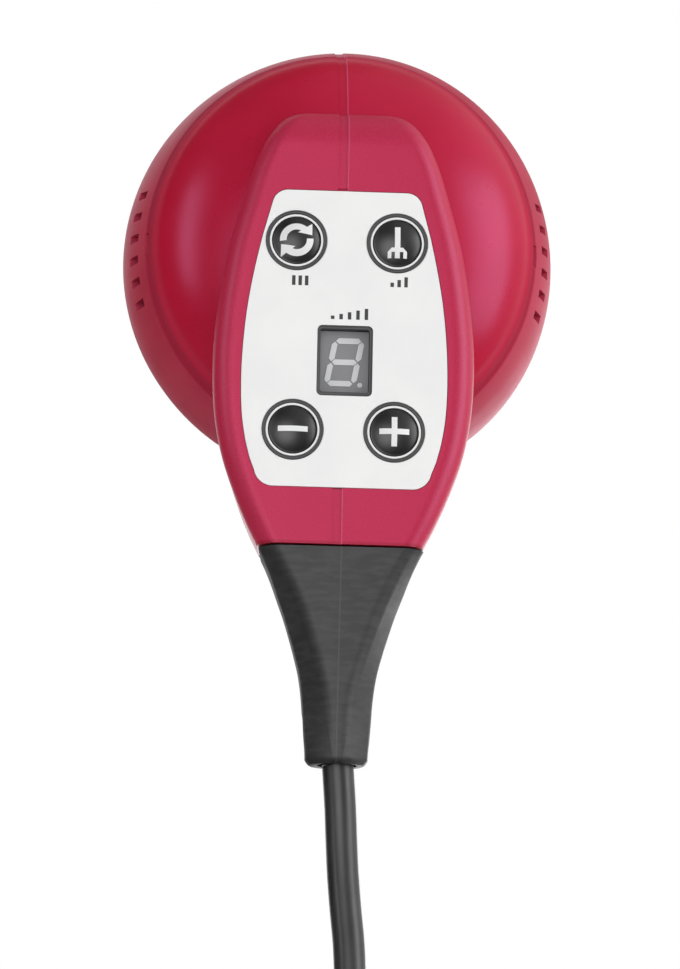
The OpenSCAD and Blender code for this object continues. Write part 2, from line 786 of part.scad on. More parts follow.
// Middle line of the hank: u counts turns, starting at the left end of the bottom bend
function hank_point(u) = let (
    k = min(floor(u / turns_per_layer), layer_count - 1),
    v = u - k * turns_per_layer,
    a = hank_in + hank_pitch * (k % 2 == 0 ? v : turns_per_layer - v),
    f = u - floor(u),
    late = v - turns_per_layer + 0.2,
    climb = late > 0 && k < layer_count - 1 ? (1 - cos(900 * late)) / 2 : 0,
    y = hank_y + layer_pitch * (k - (layer_count - 1) / 2 + climb)
)
    f < 0.3 ? [-a * cos(600 * f), y, hank_z - hank_half - a * sin(600 * f)] :
    f < 0.5 ? hank_run(a, y, -1 + 10 * (f - 0.3)) :
    f < 0.8 ? [a * cos(600 * (f - 0.5)), y, hank_z + hank_half + a * sin(600 * (f - 0.5))] :
    hank_run(-a, y, 1 - 10 * (f - 0.8));

// A run of the hank, drawn in at the waist: s goes from -1 at its foot to 1 at its head
function hank_run(a, y, s) = [a * (1 - waist * pow(cos(90 * s), 2)), y, hank_z + hank_half * s];

hank_turns = turns_per_layer * layer_count - 0.2;
HANK = concat(
    [DROP[len(DROP) - 1], [-hank_in, hank_y - 1.5 * layer_pitch, hank_z - hank_half + 2]],
    [for (i = [0:loop_steps * hank_turns + 0.01]) hank_point(i / loop_steps)],
    TAIL
);

function path_length(p) = [for (i = 0, s = 0; i < len(p); i = i + 1,
    s = s + (i < len(p) ? norm(p[i] - p[i - 1]) : 0)) s][len(p) - 1];
function least_gap(p) =
    min([for (i = [0:len(p) - 1]) for (j = [i + 10:1:len(p) - 1]) norm(p[i] - p[j])]) - cord_d;
echo(cord_length = path_length(DROP) + path_length(HANK), hank_least_gap = least_gap(HANK));

module cord_drop() {
    color("dimgray") tube(DROP, cord_r, 12, [0, 1, 0]);
}

module cord_hank() {
    color("dimgray") tube(HANK, cord_r, 6, [0, 1, 0]);
}

// Strap round the hank's waist
module cord_tie() {
    y0 = -9.8;
    y1 = 31.2;
    color("black") translate([0, 0, hank_z - 4]) difference() {
        strap_block(36.2, y0 - 1.4, y1 + 1.4, 9, 8);
        translate([0, 0, -1]) strap_block(34.8, y0, y1, 7.6, 10);
    }
}

module strap_block(half, y0, y1, r, h) {
    translate([0, (y0 + y1) / 2, 0]) linear_extrude(h) rounded(half, (y1 - y0) / 2, r);
}

plug_x = -15.5;
plug_y = 33;

// Moulded plug with its tapered strain relief on top
module plug_body() {
    color("dimgray") translate([plug_x, plug_y, 0]) difference() {
        union() {
            translate([0, 0, -232]) linear_extrude(26) union() {
                square([19, 15], center = true);
                for (x = [-9.5, 9.5]) translate([x, 0]) circle(r = 7.5);
            }
            translate([0, 0, -206 - sliver]) cylinder(h = 4, r1 = 7.4, r2 = 6.4);
            translate([0, -3.4, -203]) cylinder(h = 12.6, r = 4.6);
        }
    }
}

module plug_pins() {
    color("silver") for (x = [-9.5, 9.5]) translate([plug_x + x, plug_y, -251]) {
        cylinder(h = 19, r = 2.4, $fn = 48);
        translate([0, 0, 0]) sphere(r = 2.4, $fn = 48);
    }
}

left_housing();
right_housing();
housing_screws();
control_panel();
button_trim_rings();
heat_button();
boost_button();
slower_button();
faster_button();
heat_plunger();
boost_plunger();
slower_plunger();
faster_plunger();
switch_bodies();
display_bezel();
display_module();
display_segments();
control_board();
power_board();
filter_capacitor();
choke();
triac();
heat_sink();
ribbon_cable();
mains_wires();
motor_wires();
heater_wires();
motor_can();
motor_end_cap();
motor_magnets();
armature_core();
armature_winding();
commutator();
motor_shaft();
rear_bearing();
front_bearing();
carbon_brushes();
motor_rubber_rings();
motor_cradle();
fan_impeller();
fan_nut();
fan_duct();
heat_shield();
heater_boards();
heater_coil();
thermostat();
thermal_fuse();
outlet_nozzle();
outlet_grille();
intake_filters();
cord_boot();
cord_entry();
cord_clamp();
clamp_screws();
cord_drop();
cord_hank();
cord_tie();
plug_body();
plug_pins();
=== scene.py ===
import math

import bmesh
import bpy
from mathutils import Matrix, Vector


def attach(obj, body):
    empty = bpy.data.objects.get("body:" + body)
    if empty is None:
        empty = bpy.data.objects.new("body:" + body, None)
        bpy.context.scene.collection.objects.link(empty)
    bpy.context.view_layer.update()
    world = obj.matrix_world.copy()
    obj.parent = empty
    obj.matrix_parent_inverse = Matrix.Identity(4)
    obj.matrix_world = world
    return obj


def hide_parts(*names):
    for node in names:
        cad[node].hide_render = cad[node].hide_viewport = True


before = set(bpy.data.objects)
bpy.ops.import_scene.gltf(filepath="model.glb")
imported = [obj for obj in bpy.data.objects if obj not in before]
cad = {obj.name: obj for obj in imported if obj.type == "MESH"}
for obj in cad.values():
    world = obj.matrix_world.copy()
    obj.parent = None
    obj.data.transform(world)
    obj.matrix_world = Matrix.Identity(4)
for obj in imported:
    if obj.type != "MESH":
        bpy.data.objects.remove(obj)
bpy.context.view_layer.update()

# ---------------------------------------------------------------- studio
# The dryer hangs by its grip in a white room over a pale floor. Soft boxes stand on its right, on
# its left and before its outlet, the right one the brightest. Glossy faces mirror a dim room with
# six soft patches of light.


class Wire:
    """A socket of a node tree. Sums of wires and numbers add their own Math nodes."""

    def __init__(self, tree, socket=None):
        self.tree, self.socket = tree, socket

    def node(self, kind, settings=None, inputs=None, out=0):
        """Adds a node: its settings first, then the values or wires of its sockets."""
        made = self.tree.nodes.new(kind)
        for name, value in (settings or {}).items():
            setattr(made, name, value)
        for name, value in (inputs or {}).items():
            if isinstance(value, Wire):
                self.tree.links.new(value.socket, made.inputs[name])
            else:
                made.inputs[name].default_value = value
        return Wire(self.tree, made.outputs[out]) if made.outputs else None

    def maths(self, operation, *terms):
        return self.node("ShaderNodeMath", {"operation": operation}, dict(enumerate(terms)))

    def __add__(self, other):
        return self.maths("ADD", self, other)

    def __sub__(self, other):
        return self.maths("SUBTRACT", self, other)

    def __mul__(self, other):
        return self.maths("MULTIPLY", self, other)

    def __truediv__(self, other):
        return self.maths("DIVIDE", self, other)

    def __abs__(self):
        return self.maths("ABSOLUTE", self)

    __radd__, __rmul__ = __add__, __mul__

    def ease(self, low, high):
        """0 below low, 1 above high, and a soft step between them."""
        return self.node(
            "ShaderNodeMapRange", {"interpolation_type": "SMOOTHSTEP"},
            {"Value": self, "From Min": low, "From Max": high})

    def blend(self, one, other):
        """The colour one where this is 0 and the colour other where it is 1."""
        return self.node(
            "ShaderNodeMix", {"data_type": "RGBA"}, {0: self, 6: one, 7: other}, out=2)


def rgb(red, green, blue):
    """A colour as a screen shows it, 0 to 255, for a shader."""
    return tuple(
        c / 12.92 if c <= 0.04045 else ((c + 0.055) / 1.055) ** 2.4
        for c in (red / 255, green / 255, blue / 255)) + (1.0,)


# Height of the fan axis over the origin
AXIS = 0.0536
scene = bpy.context.scene
scene.view_settings.view_transform = "Standard"

# The camera looks up at the panel's face from 0.9 m behind it, a hair to its left, and is tilted
# by about a degree.
look_up, look_right, roll = math.radians(11), math.radians(3.0), math.radians(1.1)
panel_face, distance, aside = Vector((0, -0.015, 0)), 0.9, 0.00048
sensor_height, lens_over_height = 36, 4500 / 969
aim = Vector((
    math.sin(look_right) * math.cos(look_up),
    math.cos(look_right) * math.cos(look_up),
    math.sin(look_up)))
level = aim.cross(Vector((0, 0, 1))).normalized()
upright = level.cross(aim)
side = level * math.cos(roll) + upright * math.sin(roll)
upright = upright * math.cos(roll) - level * math.sin(roll)
camera = bpy.data.objects.new("camera", bpy.data.cameras.new("camera"))
camera.data.sensor_fit = "VERTICAL"
camera.data.sensor_height = sensor_height
camera.data.lens = sensor_height * lens_over_height
camera.data.clip_start = 0.05
camera.matrix_world = Matrix.Translation(panel_face - distance * aim - aside * side) @ Matrix(
    (side, upright, -aim)).transposed().to_4x4()
scene.collection.objects.link(camera)
scene.camera = camera

room = bpy.data.worlds.new("studio_room")
room.use_nodes = True
room.node_tree.nodes.clear()
scene.world = room
air = Wire(room.node_tree)
towards = air.node("ShaderNodeTexCoord")
seen = air.node("ShaderNodeLightPath")
mirrored = air.node("ShaderNodeLightPath", out="Is Glossy Ray")
through = air.node("ShaderNodeLightPath", out="Is Transmission Ray")


def glow(way, low, high, strength):
    """A soft round patch of light in the reflected room, around a direction."""
    near = towards.node(
        "ShaderNodeVectorMath", {"operation": "DOT_PRODUCT"}, {0: towards, 1: way}, out="Value")
    return strength * near.ease(low, high)


def background(strength):
    return air.node("ShaderNodeBackground", None, {"Color": (1, 1, 1, 1), "Strength": strength})


# Way to each patch, the cosines at which it begins and is full, and its strength
PATCHES = [
    ((-0.24, -0.96, 0.0), 0.84, 0.985, 3.4), ((0.25, 0.95, 0.15), 0.3, 0.95, 0.5),
    ((-0.2, 0.88, 0.43), 0.85, 0.98, 1.25), ((0.42, 0.86, -0.28), 0.84, 0.98, 1.9),
    ((0.95, 0.1, 0.25), 0.6, 0.97, 0.6), ((0.55, -0.35, 0.76), 0.6, 0.97, 0.5)]
patches = sum((glow(*patch) for patch in PATCHES), 0.02)
soft_white = background(0.35 + glow((0.3, -0.2, 0.93), -0.2, 1.0, 0.57))
# Diffuse rays meet a soft white sky and glossy ones the patches; the camera sees plain white
lit = air.node("ShaderNodeMixShader", None, {0: mirrored, 1: soft_white, 2: background(patches)})
looked_at = seen.maths("MAXIMUM", seen, through)
shown = air.node("ShaderNodeMixShader", None, {0: looked_at, 1: lit, 2: background(1.0)})
air.node("ShaderNodeOutputWorld", None, {0: shown})


def soft_box(name, place, target, width, height, watts):
    lamp = bpy.data.objects.new(name, bpy.data.lights.new(name, "AREA"))
    lamp.data.shape = "RECTANGLE"
    lamp.data.size, lamp.data.size_y, lamp.data.energy = width, height, watts
    lamp.location = place
    lamp.rotation_mode = "QUATERNION"
    lamp.rotation_quaternion = (Vector(target) - Vector(place)).to_track_quat("-Z", "Y")
    scene.collection.objects.link(lamp)


soft_box("right_soft_box", (0.95, -0.47, 0.20), (0, 0, 0.03), 0.6, 1.0, 5.9)
soft_box("left_soft_box", (-0.88, -0.42, 0.28), (0, 0, 0.03), 0.24, 0.6, 1.5)
soft_box("front_soft_box", (0.3, 0.95, -0.1), (0, 0.05, 0.03), 0.6, 0.8, 2.0)


def finish_of(name, roughness, metallic=0.0, coat=0.0, coat_roughness=0.1):
    """A new material as (material, its shader node, a wire of object coordinates)."""
    made = bpy.data.materials.new(name)
    made.use_nodes = True
    shader = made.node_tree.nodes["Principled BSDF"]
    shader.inputs["Roughness"].default_value = roughness
    shader.inputs["Metallic"].default_value = metallic
    shader.inputs["Coat Weight"].default_value = coat
    shader.inputs["Coat Roughness"].default_value = coat_roughness
    return made, shader, Wire(made.node_tree).node("ShaderNodeTexCoord", out="Object")


def noise(point, scale, detail=3.0):
    return point.node(
        "ShaderNodeTexNoise", None,
        {"Vector": point, "Scale": scale, "Detail": detail, "Roughness": 0.55})


def clouded(point, scale, dark, light):
    """A colour that drifts between two others in soft clouds."""
    return noise(point, scale).ease(0.3, 0.7).blend(dark, light)


def feed(shader, socket, wire):
    wire.tree.links.new(wire.socket, shader.inputs[socket])


def bumped(shader, height, distance):
    feed(shader, "Normal", height.node("ShaderNodeBump", None, {"Height": height, "Distance": distance}))


def moulded(name, dark, light, roughness, grain=900.0, depth=0.00002, coat=0.0,
            coat_roughness=0.12, specular=0.5):
    """Moulded plastic or rubber: clouded colour, an uneven sheen and a fine spark grain."""
    made, shader, point = finish_of(name, roughness, coat=coat, coat_roughness=coat_roughness)
    shader.inputs["Specular IOR Level"].default_value = specular
    feed(shader, "Base Color", clouded(point, 60.0, dark, light))
    feed(shader, "Roughness", roughness - 0.025 + 0.05 * noise(point, 140.0))
    bumped(shader, noise(point, grain, 2.0), depth)
    return made


# The floor lies clear of the plug and reaches 3 m to every side
FLOOR_Z = -0.256
floor_mesh = bpy.data.meshes.new("studio_floor")
floor_mesh.from_pydata(
    [(x, y, FLOOR_Z) for x, y in ((-3, -3), (3, -3), (3, 3), (-3, 3))], [], [(0, 1, 2, 3)])
floor = bpy.data.objects.new("studio_floor", floor_mesh)
scene.collection.objects.link(floor)
floor_mesh.materials.append(moulded(
    "floor_paper", rgb(238, 238, 238), rgb(243, 243, 243), 0.9, 60.0, 0.0001, specular=0.1))
floor.visible_glossy = False

# ---------------------------------------------------------------- mains cord
# Round two-core mains lead, 6.4 mm over its PVC sheath and about 2.5 m long. It hangs from the
# boot, and the spare length is folded into a flat hank of eight turns under the dryer.


def piece(name, points, faces):
    """A new object at the origin with these points and faces, normals outwards."""
    mesh = bpy.data.meshes.new(name)
    mesh.from_pydata([tuple(p) for p in points], [], faces)
    work = bmesh.new()
    work.from_mesh(mesh)
    bmesh.ops.recalc_face_normals(work, faces=work.faces)
    work.to_mesh(mesh)
    work.free()
    made = bpy.data.objects.new(name, mesh)
    scene.collection.objects.link(made)
    return made


def smoothed(made, angle):
    """Smooth faces, with sharp edges where two faces turn by more than the angle."""
    made.data.shade_smooth()
    made.data.set_sharp_from_angle(angle=math.radians(angle))
    return made


def skinned(name, rings):
    """A closed solid over rings of as many points each, capped at both ends."""
    count = len(rings[0])
    faces = [
        (j * count + i, j * count + (i + 1) % count, (j + 1) * count + (i + 1) % count,
         (j + 1) * count + i)
        for j in range(len(rings) - 1) for i in range(count)]
    faces.append(tuple(range(count)))
    faces.append(tuple((len(rings) - 1) * count + i for i in range(count)))
    return piece(name, [p for ring in rings for p in ring], faces)


def curve_through(points, step):
    """Points about a step apart on a smooth curve through the given ones."""
    made = []
    for i in range(len(points) - 1):
        a, b, c, d = (Vector(points[min(max(k, 0), len(points) - 1)]) for k in (i - 1, i, i + 1, i + 2))
        count = max(1, round((c - b).length / step))
        for n in range(count):
            t = n / count
            made.append(0.5 * (
                2 * b + (c - a) * t + (2 * a - 5 * b + 4 * c - d) * t * t
                + (3 * b - a - 3 * c + d) * t ** 3))
    return made + [Vector(points[-1])]


def heading(path, i):
    """Direction of a path at one of its points."""
    return (path[min(i + 1, len(path) - 1)] - path[max(i - 1, 0)]).normalized()


def tube_rings(path, radius, sides):
    """Round rings along a path, turned as little as can be from one to the next."""
    rings, across = [], None
    for i, centre in enumerate(path):
        along = heading(path, i)
        across = across or along.orthogonal()
        across = (across - along * across.dot(along)).normalized()
        over = along.cross(across)
        rings.append([
            centre + radius * (math.cos(a) * across + math.sin(a) * over)
            for a in (2 * math.pi * k / sides for k in range(sides))])
    return rings


CORD_RADIUS = 0.0032
# Middle lines from the boot to the hank and from the hank to the plug, in metres
CORD_DROP = [
    (0.0008, -0.003, -0.0551), (0.0012, -0.003, -0.060), (0.0015, -0.003, -0.064),
    (0.0018, -0.0032, -0.070), (0.0022, -0.0038, -0.077), (0.0028, -0.0048, -0.084),
    (0.0035, -0.006, -0.091), (0.0038, -0.007, -0.098), (0.0037, -0.0076, -0.105),
    (0.0029, -0.0078, -0.113), (0.0014, -0.0078, -0.122), (-0.001, -0.0078, -0.131),
    (-0.0039, -0.0078, -0.140), (-0.007, -0.0077, -0.149), (-0.0102, -0.0071, -0.158),
    (-0.013, -0.0058, -0.167), (-0.0153, -0.004, -0.175), (-0.0174, -0.002, -0.1825),
    (-0.019, -0.0008, -0.188), (-0.0195, -0.0005, -0.1916), (-0.0195, -0.0005, -0.196)]
CORD_TAIL = [
    (-0.0206, 0.0211, -0.150), (-0.0192, 0.0226, -0.158), (-0.0178, 0.0248, -0.165),
    (-0.0166, 0.0272, -0.172), (-0.0157, 0.029, -0.179), (-0.0155, 0.0296, -0.184),
    (-0.0155, 0.0296, -0.1904)]
# Middle of the hank and half of its straight runs, in mm, and the share by which its tie draws
# them in
HANK_Y, HANK_Z, STRAIGHT, DRAWN_IN = 10, -170, 28, 0.16
# Half-width of the innermost turn, growth with each turn, and pitch of the layers
HANK_HALF, HANK_GROWTH, LAYER_PITCH, LAST_LAYER = 19.5, 9.2, 7, 3
HANK_TURNS, POINTS_A_TURN = 7.8, 36


def hank_point(turn):
    """Middle line of the hank, in metres, after so many turns. A turn is a bend below, a run up,
    a bend above and a run down; each layer has two turns and ends with a climb to the next."""
    layer = min(math.floor(turn / 2), LAST_LAYER)
    spent = turn - 2 * layer
    half = HANK_HALF + HANK_GROWTH * (spent if layer % 2 == 0 else 2 - spent)
    climb = 0
    if spent > 1.8 and layer < LAST_LAYER:
        climb = (1 - math.cos(math.radians(900 * (spent - 1.8)))) / 2
    y = HANK_Y + LAYER_PITCH * (layer - LAST_LAYER / 2 + climb)
    part = turn - math.floor(turn)
    bend = math.radians(600 * (part if part < 0.5 else part - 0.5))
    if part < 0.3:
        x, z = -half * math.cos(bend), HANK_Z - STRAIGHT - half * math.sin(bend)
    elif 0.5 <= part < 0.8:
        x, z = half * math.cos(bend), HANK_Z + STRAIGHT + half * math.sin(bend)
    else:
        hand, rise = (1, -1 + 10 * (part - 0.3)) if part < 0.5 else (-1, 1 - 10 * (part - 0.8))
        x = hand * half * (1 - DRAWN_IN * math.cos(math.radians(90 * rise)) ** 2)
        z = HANK_Z + STRAIGHT * rise
    return (x / 1000, y / 1000, z / 1000)


hank = [hank_point(n / POINTS_A_TURN) for n in range(int(HANK_TURNS * POINTS_A_TURN) + 1)]
cord_line = curve_through(CORD_DROP + hank + CORD_TAIL, 0.0028)
cord = skinned("mains_cord", tube_rings(cord_line, CORD_RADIUS, 16))
smoothed(cord, 60)


def streaks(point, along, scale):
    """Noise that is drawn out along the axes of small numbers."""
    return noise(point.node("ShaderNodeMapping", None, {"Vector": point, "Scale": along}), scale)


sheath, shader, point = finish_of("cord_sheath", 0.42, coat=0.25, coat_roughness=0.3)
streak = streaks(point, (1, 1, 0.12), 700.0)
feed(shader, "Base Color", streak.ease(0.35, 0.7).blend(rgb(38, 38, 40), rgb(48, 48, 50)))
feed(shader, "Roughness", 0.36 + 0.12 * noise(point, 220.0))
bumped(shader, streak, 0.00003)

# ---------------------------------------------------------------- cord tie
# Strap of soft black rubber round the waist of the hank, moulded with fine cross ribs.

strap_rubber = moulded("strap_rubber", rgb(42, 42, 44), rgb(52, 52, 54), 0.6, 1400.0, 0.00004)


def rounded_outline(half_x, low_y, high_y, radius, steps=10):
    """Outline of a box with round corners, as (x, y) pairs."""
    made = []
    for turn, (sx, cy) in enumerate(((1, high_y - radius), (-1, high_y - radius),
                                     (-1, low_y + radius), (1, low_y + radius))):
        for i in range(steps + 1):
            a = math.pi / 2 * (turn + i / steps)
            made.append((sx * (half_x - radius) + radius * math.cos(a), cy + radius * math.sin(a)))
    return made


def strap(name, half_x, low_y, high_y, corner, thick, low_z, high_z):
    """A band that stands round a box outline, its edges rounded over."""
    edge = thick * 0.35
    section = [
        (0, low_z), (-thick + edge, low_z), (-thick, low_z + edge), (-thick, high_z - edge),
        (-thick + edge, high_z), (0, high_z), (edge, high_z - edge), (edge, low_z + edge)]
    loops = [
        [(x, y, z) for x, y in rounded_outline(
            half_x - edge + out, low_y + edge - out, high_y - edge + out, corner - edge + out)]
        for out, z in section]
    count = len(loops[0])
    faces = [
        (j * count + i, j * count + (i + 1) % count,
         (j + 1) % len(loops) * count + (i + 1) % count, (j + 1) % len(loops) * count + i)
        for j in range(len(loops)) for i in range(count)]
    return piece(name, [p for loop in loops for p in loop], faces)


tie = strap("hank_tie", half_x=0.0362, low_y=-0.0112, high_y=0.0326, corner=0.0044, thick=0.0014,
            low_z=-0.174, high_z=-0.166)
smoothed(tie, 40)


def fitted(made, finish, body, slot, *nodes):
    """Gives a piece its finishes, and the place of its CAD nodes on their body."""
    for i, layer in enumerate(finish if isinstance(finish, list) else [finish]):
        if i < len(made.data.materials):
            made.data.materials[i] = layer
        else:
            made.data.materials.append(layer)
    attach(made, body)
    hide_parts(*nodes)
    return made


fitted(tie, strap_rubber, "casing", "boot_rubber", "cord_tie")

# ---------------------------------------------------------------- plug
# Two-pin moulded plug of the contour kind: one over-moulded PVC body with finger ribs and a
# ribbed sleeve round the cord, and two nickel-plated brass pins pressed into it.

# Middle of the plug as (x, y), and how far each pin stands from it
PLUG, PIN_ASIDE = (-0.0155, 0.033), 0.0095


def lathed(name, profile, steps, centre, axis="Z"):
    """A solid turned from (radius, place on the axis) pairs; radius 0 stands on the axis."""
    turn = [(math.cos(a), math.sin(a)) for a in (2 * math.pi * i / steps for i in range(steps))]
    points, rows = [], []
    for radius, place in profile:
        if radius < 1e-7:
            rows.append([len(points)] * steps)
            ring = [(0, 0)]
        else:
            rows.append(list(range(len(points), len(points) + steps)))
            ring = [(radius * c, radius * s) for c, s in turn]
        for u, v in ring:
            points.append((centre[0] + u, centre[1] + v, place) if axis == "Z" else (
                centre[0] + u, place, centre[1] + v))
    faces = []
    closed = profile[0][0] > 1e-7
    for j in range(len(rows) - (0 if closed else 1)):
        low, high = rows[j], rows[(j + 1) % len(rows)]
        for i in range(steps):
            k = (i + 1) % steps
            corners = list(dict.fromkeys((low[i], low[k], high[k], high[i])))
            if len(corners) > 2:
                faces.append(corners)
    return piece(name, points, faces)


def stadium(half_x, half_y):
    """Outline with round ends along X, about its own middle."""
    made = []
    for a in (2 * math.pi * i / 64 for i in range(64)):
        hand = 1 if math.cos(a) >= 0 else -1
        made.append(((half_x - half_y) * hand * min(1, abs(math.cos(a)) * 3) + half_y * math.cos(a),
                     half_y * math.sin(a)))
    return made


def unit(share):
    """A share held between 0 and 1."""
    return min(1.0, max(0.0, share))


def joined(name, parts):
    """The parts as separate bodies of one new piece."""
    work = bmesh.new()
    for part in parts:
        work.from_mesh(part.data)
        bpy.data.objects.remove(part)
    mesh = bpy.data.meshes.new(name)
    work.to_mesh(mesh)
    work.free()
    made = bpy.data.objects.new(name, mesh)
    scene.collection.objects.link(made)
    return made


# Height, half-width and half-depth from the pin face up to the end of the sleeve, in mm
PLUG_RISE = [
    (-232, 16.2, 6.7), (-231.4, 16.8, 7.3), (-230.6, 17, 7.5), (-224, 17, 7.5), (-221, 16.2, 7.1),
    (-218, 15.7, 6.8), (-215, 15.6, 6.8), (-212, 15.9, 7), (-209, 16, 7.2), (-207, 15.4, 7.1),
    (-205.6, 13.6, 6.7), (-204.3, 10.6, 6), (-203.2, 7.6, 5.3), (-202.2, 5.6, 4.8),
    (-201, 4.7, 4.6), (-198, 4.5, 4.5), (-193, 4.2, 4.2), (-190.9, 4.05, 4.05), (-190.4, 3.7, 3.7)]
rings = []
for height, half_x, half_y in PLUG_RISE:
    # The sleeve stands 3.4 mm behind the middle of the body
    share = unit((height + 209) / 8)
    shift = 1000 * PLUG[1] - 3.4 * share * share * (3 - 2 * share)
    rings.append([
        (PLUG[0] + x / 1000, (shift + y) / 1000, height / 1000)
        for x, y in stadium(half_x, min(half_y, half_x - 0.01))])
plug = skinned("mains_plug", rings)
plug_plastic = moulded("plug_plastic", rgb(48, 48, 50), rgb(58, 58, 60), 0.5, 1100.0, 0.00004)
fitted(smoothed(plug, 40), plug_plastic, "casing", "cord_pvc", "plug_body")

nickel, shader, point = finish_of("nickel_plate", 0.2, metallic=1.0)
feed(shader, "Base Color", clouded(point, 90.0, rgb(196, 194, 188), rgb(214, 212, 206)))
feed(shader, "Roughness", 0.16 + 0.14 * noise(point, 300.0))
pin_line = [
    (0, -0.2534), (0.0008, -0.2534), (0.0016, -0.2531), (0.0022, -0.2524), (0.0024, -0.2514),
    (0.0024, -0.2320), (0, -0.2320)]
pins = joined("plug_pin_pair", [
    lathed("pin", pin_line, 40, (PLUG[0] + x, PLUG[1])) for x in (-PIN_ASIDE, PIN_ASIDE)])
fitted(smoothed(pins, 40), nickel, "casing", "bearing_steel", "plug_pins")

fitted(cord, sheath, "casing", "cord_pvc", "cord_drop", "cord_hank")
cord_length = sum((b - a).length for a, b in zip(cord_line, cord_line[1:]))

# ---------------------------------------------------------------- housing halves
# Two injection-moulded shells of crimson plastic that meet on the mid-plane. The round body is
# smooth and satin, the handle over it has a fine spark grain. Both shells hold their ribs, screw
# bosses and the pocket of the control panel.

# The round body, in mm: the rim of its rear dome and the dome's height, the widest place, the lip
# of the skirt round the dome and the thickness of the walls
RIM_R, RIM_Y, DOME = 39.7, 6.3, 18.3
BODY_R, WIDEST_Y, LIP_R, LIP_Y = 45.0, 22.8, 40.6, 7.4
WALL = 2.2
# Where its front tapers from, and its open front
TAPER_Y, OPEN_Y = 26, 70
# The dome's arc stops short of a quarter turn and runs straight on to the lip
DOME_TURN = 87.5
# The handle's lower end, its depth, its rear and front corner radii, the height where its top
# rolls over, and the rise and run of that roll
HANDLE_LOW, HANDLE_BACK, HANDLE_FRONT, REAR_CORNER, FRONT_CORNER = -12.1, -15, 15.0, 4.6, 9
CROWN_Z, CROWN, CROWN_RUN = 70, 8, 5.5
# Half-width of the handle by height
HANDLE_SIDE = [
    (-12.1, 16.7), (-8, 18.8), (-2, 21.4), (6, 24.2), (14, 25.8), (22, 26.4), (30, 26.3), (40, 25.3),
    (50, 23.6), (60, 20.9), (66, 19.1), (70, 17.5)]
# Half-width of the rolled-over top, by the angle of the roll
CROWN_SIDE = [(0, 17.5), (14.5, 16.5), (30, 15.2), (45.4, 13.9), (61, 12.4), (77.2, 10.8), (90, 9.2)]
# Where the boot's flange sits in the handle, and the boot's end at the cord
NECK_Z, BOOT_END = -9.4, -55.1
# Middles of the keys as (x, z), of the screw bosses and the locating pin as (y, z)
BUTTONS = {"heat": (-10.2, 50), "boost": (10.2, 50), "slower": (-10.2, 11), "faster": (10.2, 11)}
BOSSES = [(32, 15), (36.5, 91), (60, 22.6), (60, 84.6), (9.5, 2)]
LOCATING_PIN = (-6, 70.3)
# The clamp's two posts stand this far to each side, at this height
CLAMP_X, CLAMP_Z = 8, 1
# The display window: half-width, half-height and corner radius, and its height over the origin
WINDOW, DISPLAY_Z = (5.6, 7.25, 1), 25.4


def metres(points):
    return [tuple(c / 1000 for c in p) for p in points]


def front_radius(y):
    """Radius of the body where it tapers to its open front, in mm."""
    return BODY_R - 0.22 * (y - 24) - 0.00094 * (y - 24) ** 2


def skirt_radius(y):
    """Radius of the body where it widens from the lip of its skirt, in mm."""
    return BODY_R - (BODY_R - LIP_R) * ((WIDEST_Y - y) / (WIDEST_Y - LIP_Y)) ** 2


def body_outline(inset, fine):
    """(radius, y) of the round body from the dome's pole to its open front, in mm."""
    made = [
        ((RIM_R - inset) * math.sin(a), RIM_Y - (DOME - inset) * math.cos(a))
        for a in (math.radians(DOME_TURN) * i / (12 * fine) for i in range(12 * fine + 1))]
    steps = 7 * fine
    for i in range(steps + 1):
        y = LIP_Y + (WIDEST_Y - LIP_Y) * i / steps
        made.append((skirt_radius(y) - inset, y))
    steps = 11 * fine
    for i in range(steps + 1):
        y = TAPER_Y + (OPEN_Y - TAPER_Y) * i / steps
        made.append((front_radius(y) - inset, y))
    return made + [(0, OPEN_Y)]


def turned(name, outline, steps):
    return lathed(name, [(r / 1000, y / 1000) for r, y in outline], steps, (0, AXIS), "Y")


def body_form(name, inset, fine, steps):
    """The round body, a little taller than wide, with its top and bottom a touch to the right."""
    made = turned(name, body_outline(inset, fine), steps)
    for p in made.data.vertices:
        rise = p.co.z - AXIS
        p.co.z = AXIS + rise * (1.019 + 0.012 * unit((0.015 - p.co.y) / 0.008))
        most_aside = 0.001 if rise > 0 else 0.0006
        p.co.x += most_aside * (rise / 0.046) ** 2 * unit((p.co.y - 0.006) / 0.006)
    return made


def box_section(half, back, front, rear_r, front_r, steps):
    """Section of the handle as (x, y) pairs, rounded at its four corners."""
    made = []
    corners = ((1, 1, front_r, 0), (-1, 1, front_r, 1), (-1, -1, rear_r, 2), (1, -1, rear_r, 3))
    for sx, sy, r, first in corners:
        for i in range(steps + 1):
            a = math.pi / 2 * (first + i / steps)
            cy = front - r if sy > 0 else back + r
            made.append((sx * (half - r) + r * math.cos(a), cy + r * math.sin(a)))
    return made


def read_smooth(table, at):
    """The value at a place, on a smooth line through the pairs of a table."""
    last = len(table) - 1
    i = next((k for k in range(last) if at <= table[k + 1][0]), last - 1)
    slopes = []
    for k in (i, i + 1):
        a, b = table[max(k - 1, 0)], table[min(k + 1, last)]
        slopes.append((b[1] - a[1]) / (b[0] - a[0]))
    (z0, w0), (z1, w1) = table[i], table[i + 1]
    t, run = (at - z0) / (z1 - z0), z1 - z0
    return (w0 * (1 + 2 * t) * (1 - t) ** 2 + run * slopes[0] * t * (1 - t) ** 2
            + w1 * t * t * (3 - 2 * t) + run * slopes[1] * t * t * (t - 1))


def draft(y):
    """Share of its half-width that a section keeps at depth y, in mm."""
    return 1 - 0.11 * max(0.0, y + 9) / 24


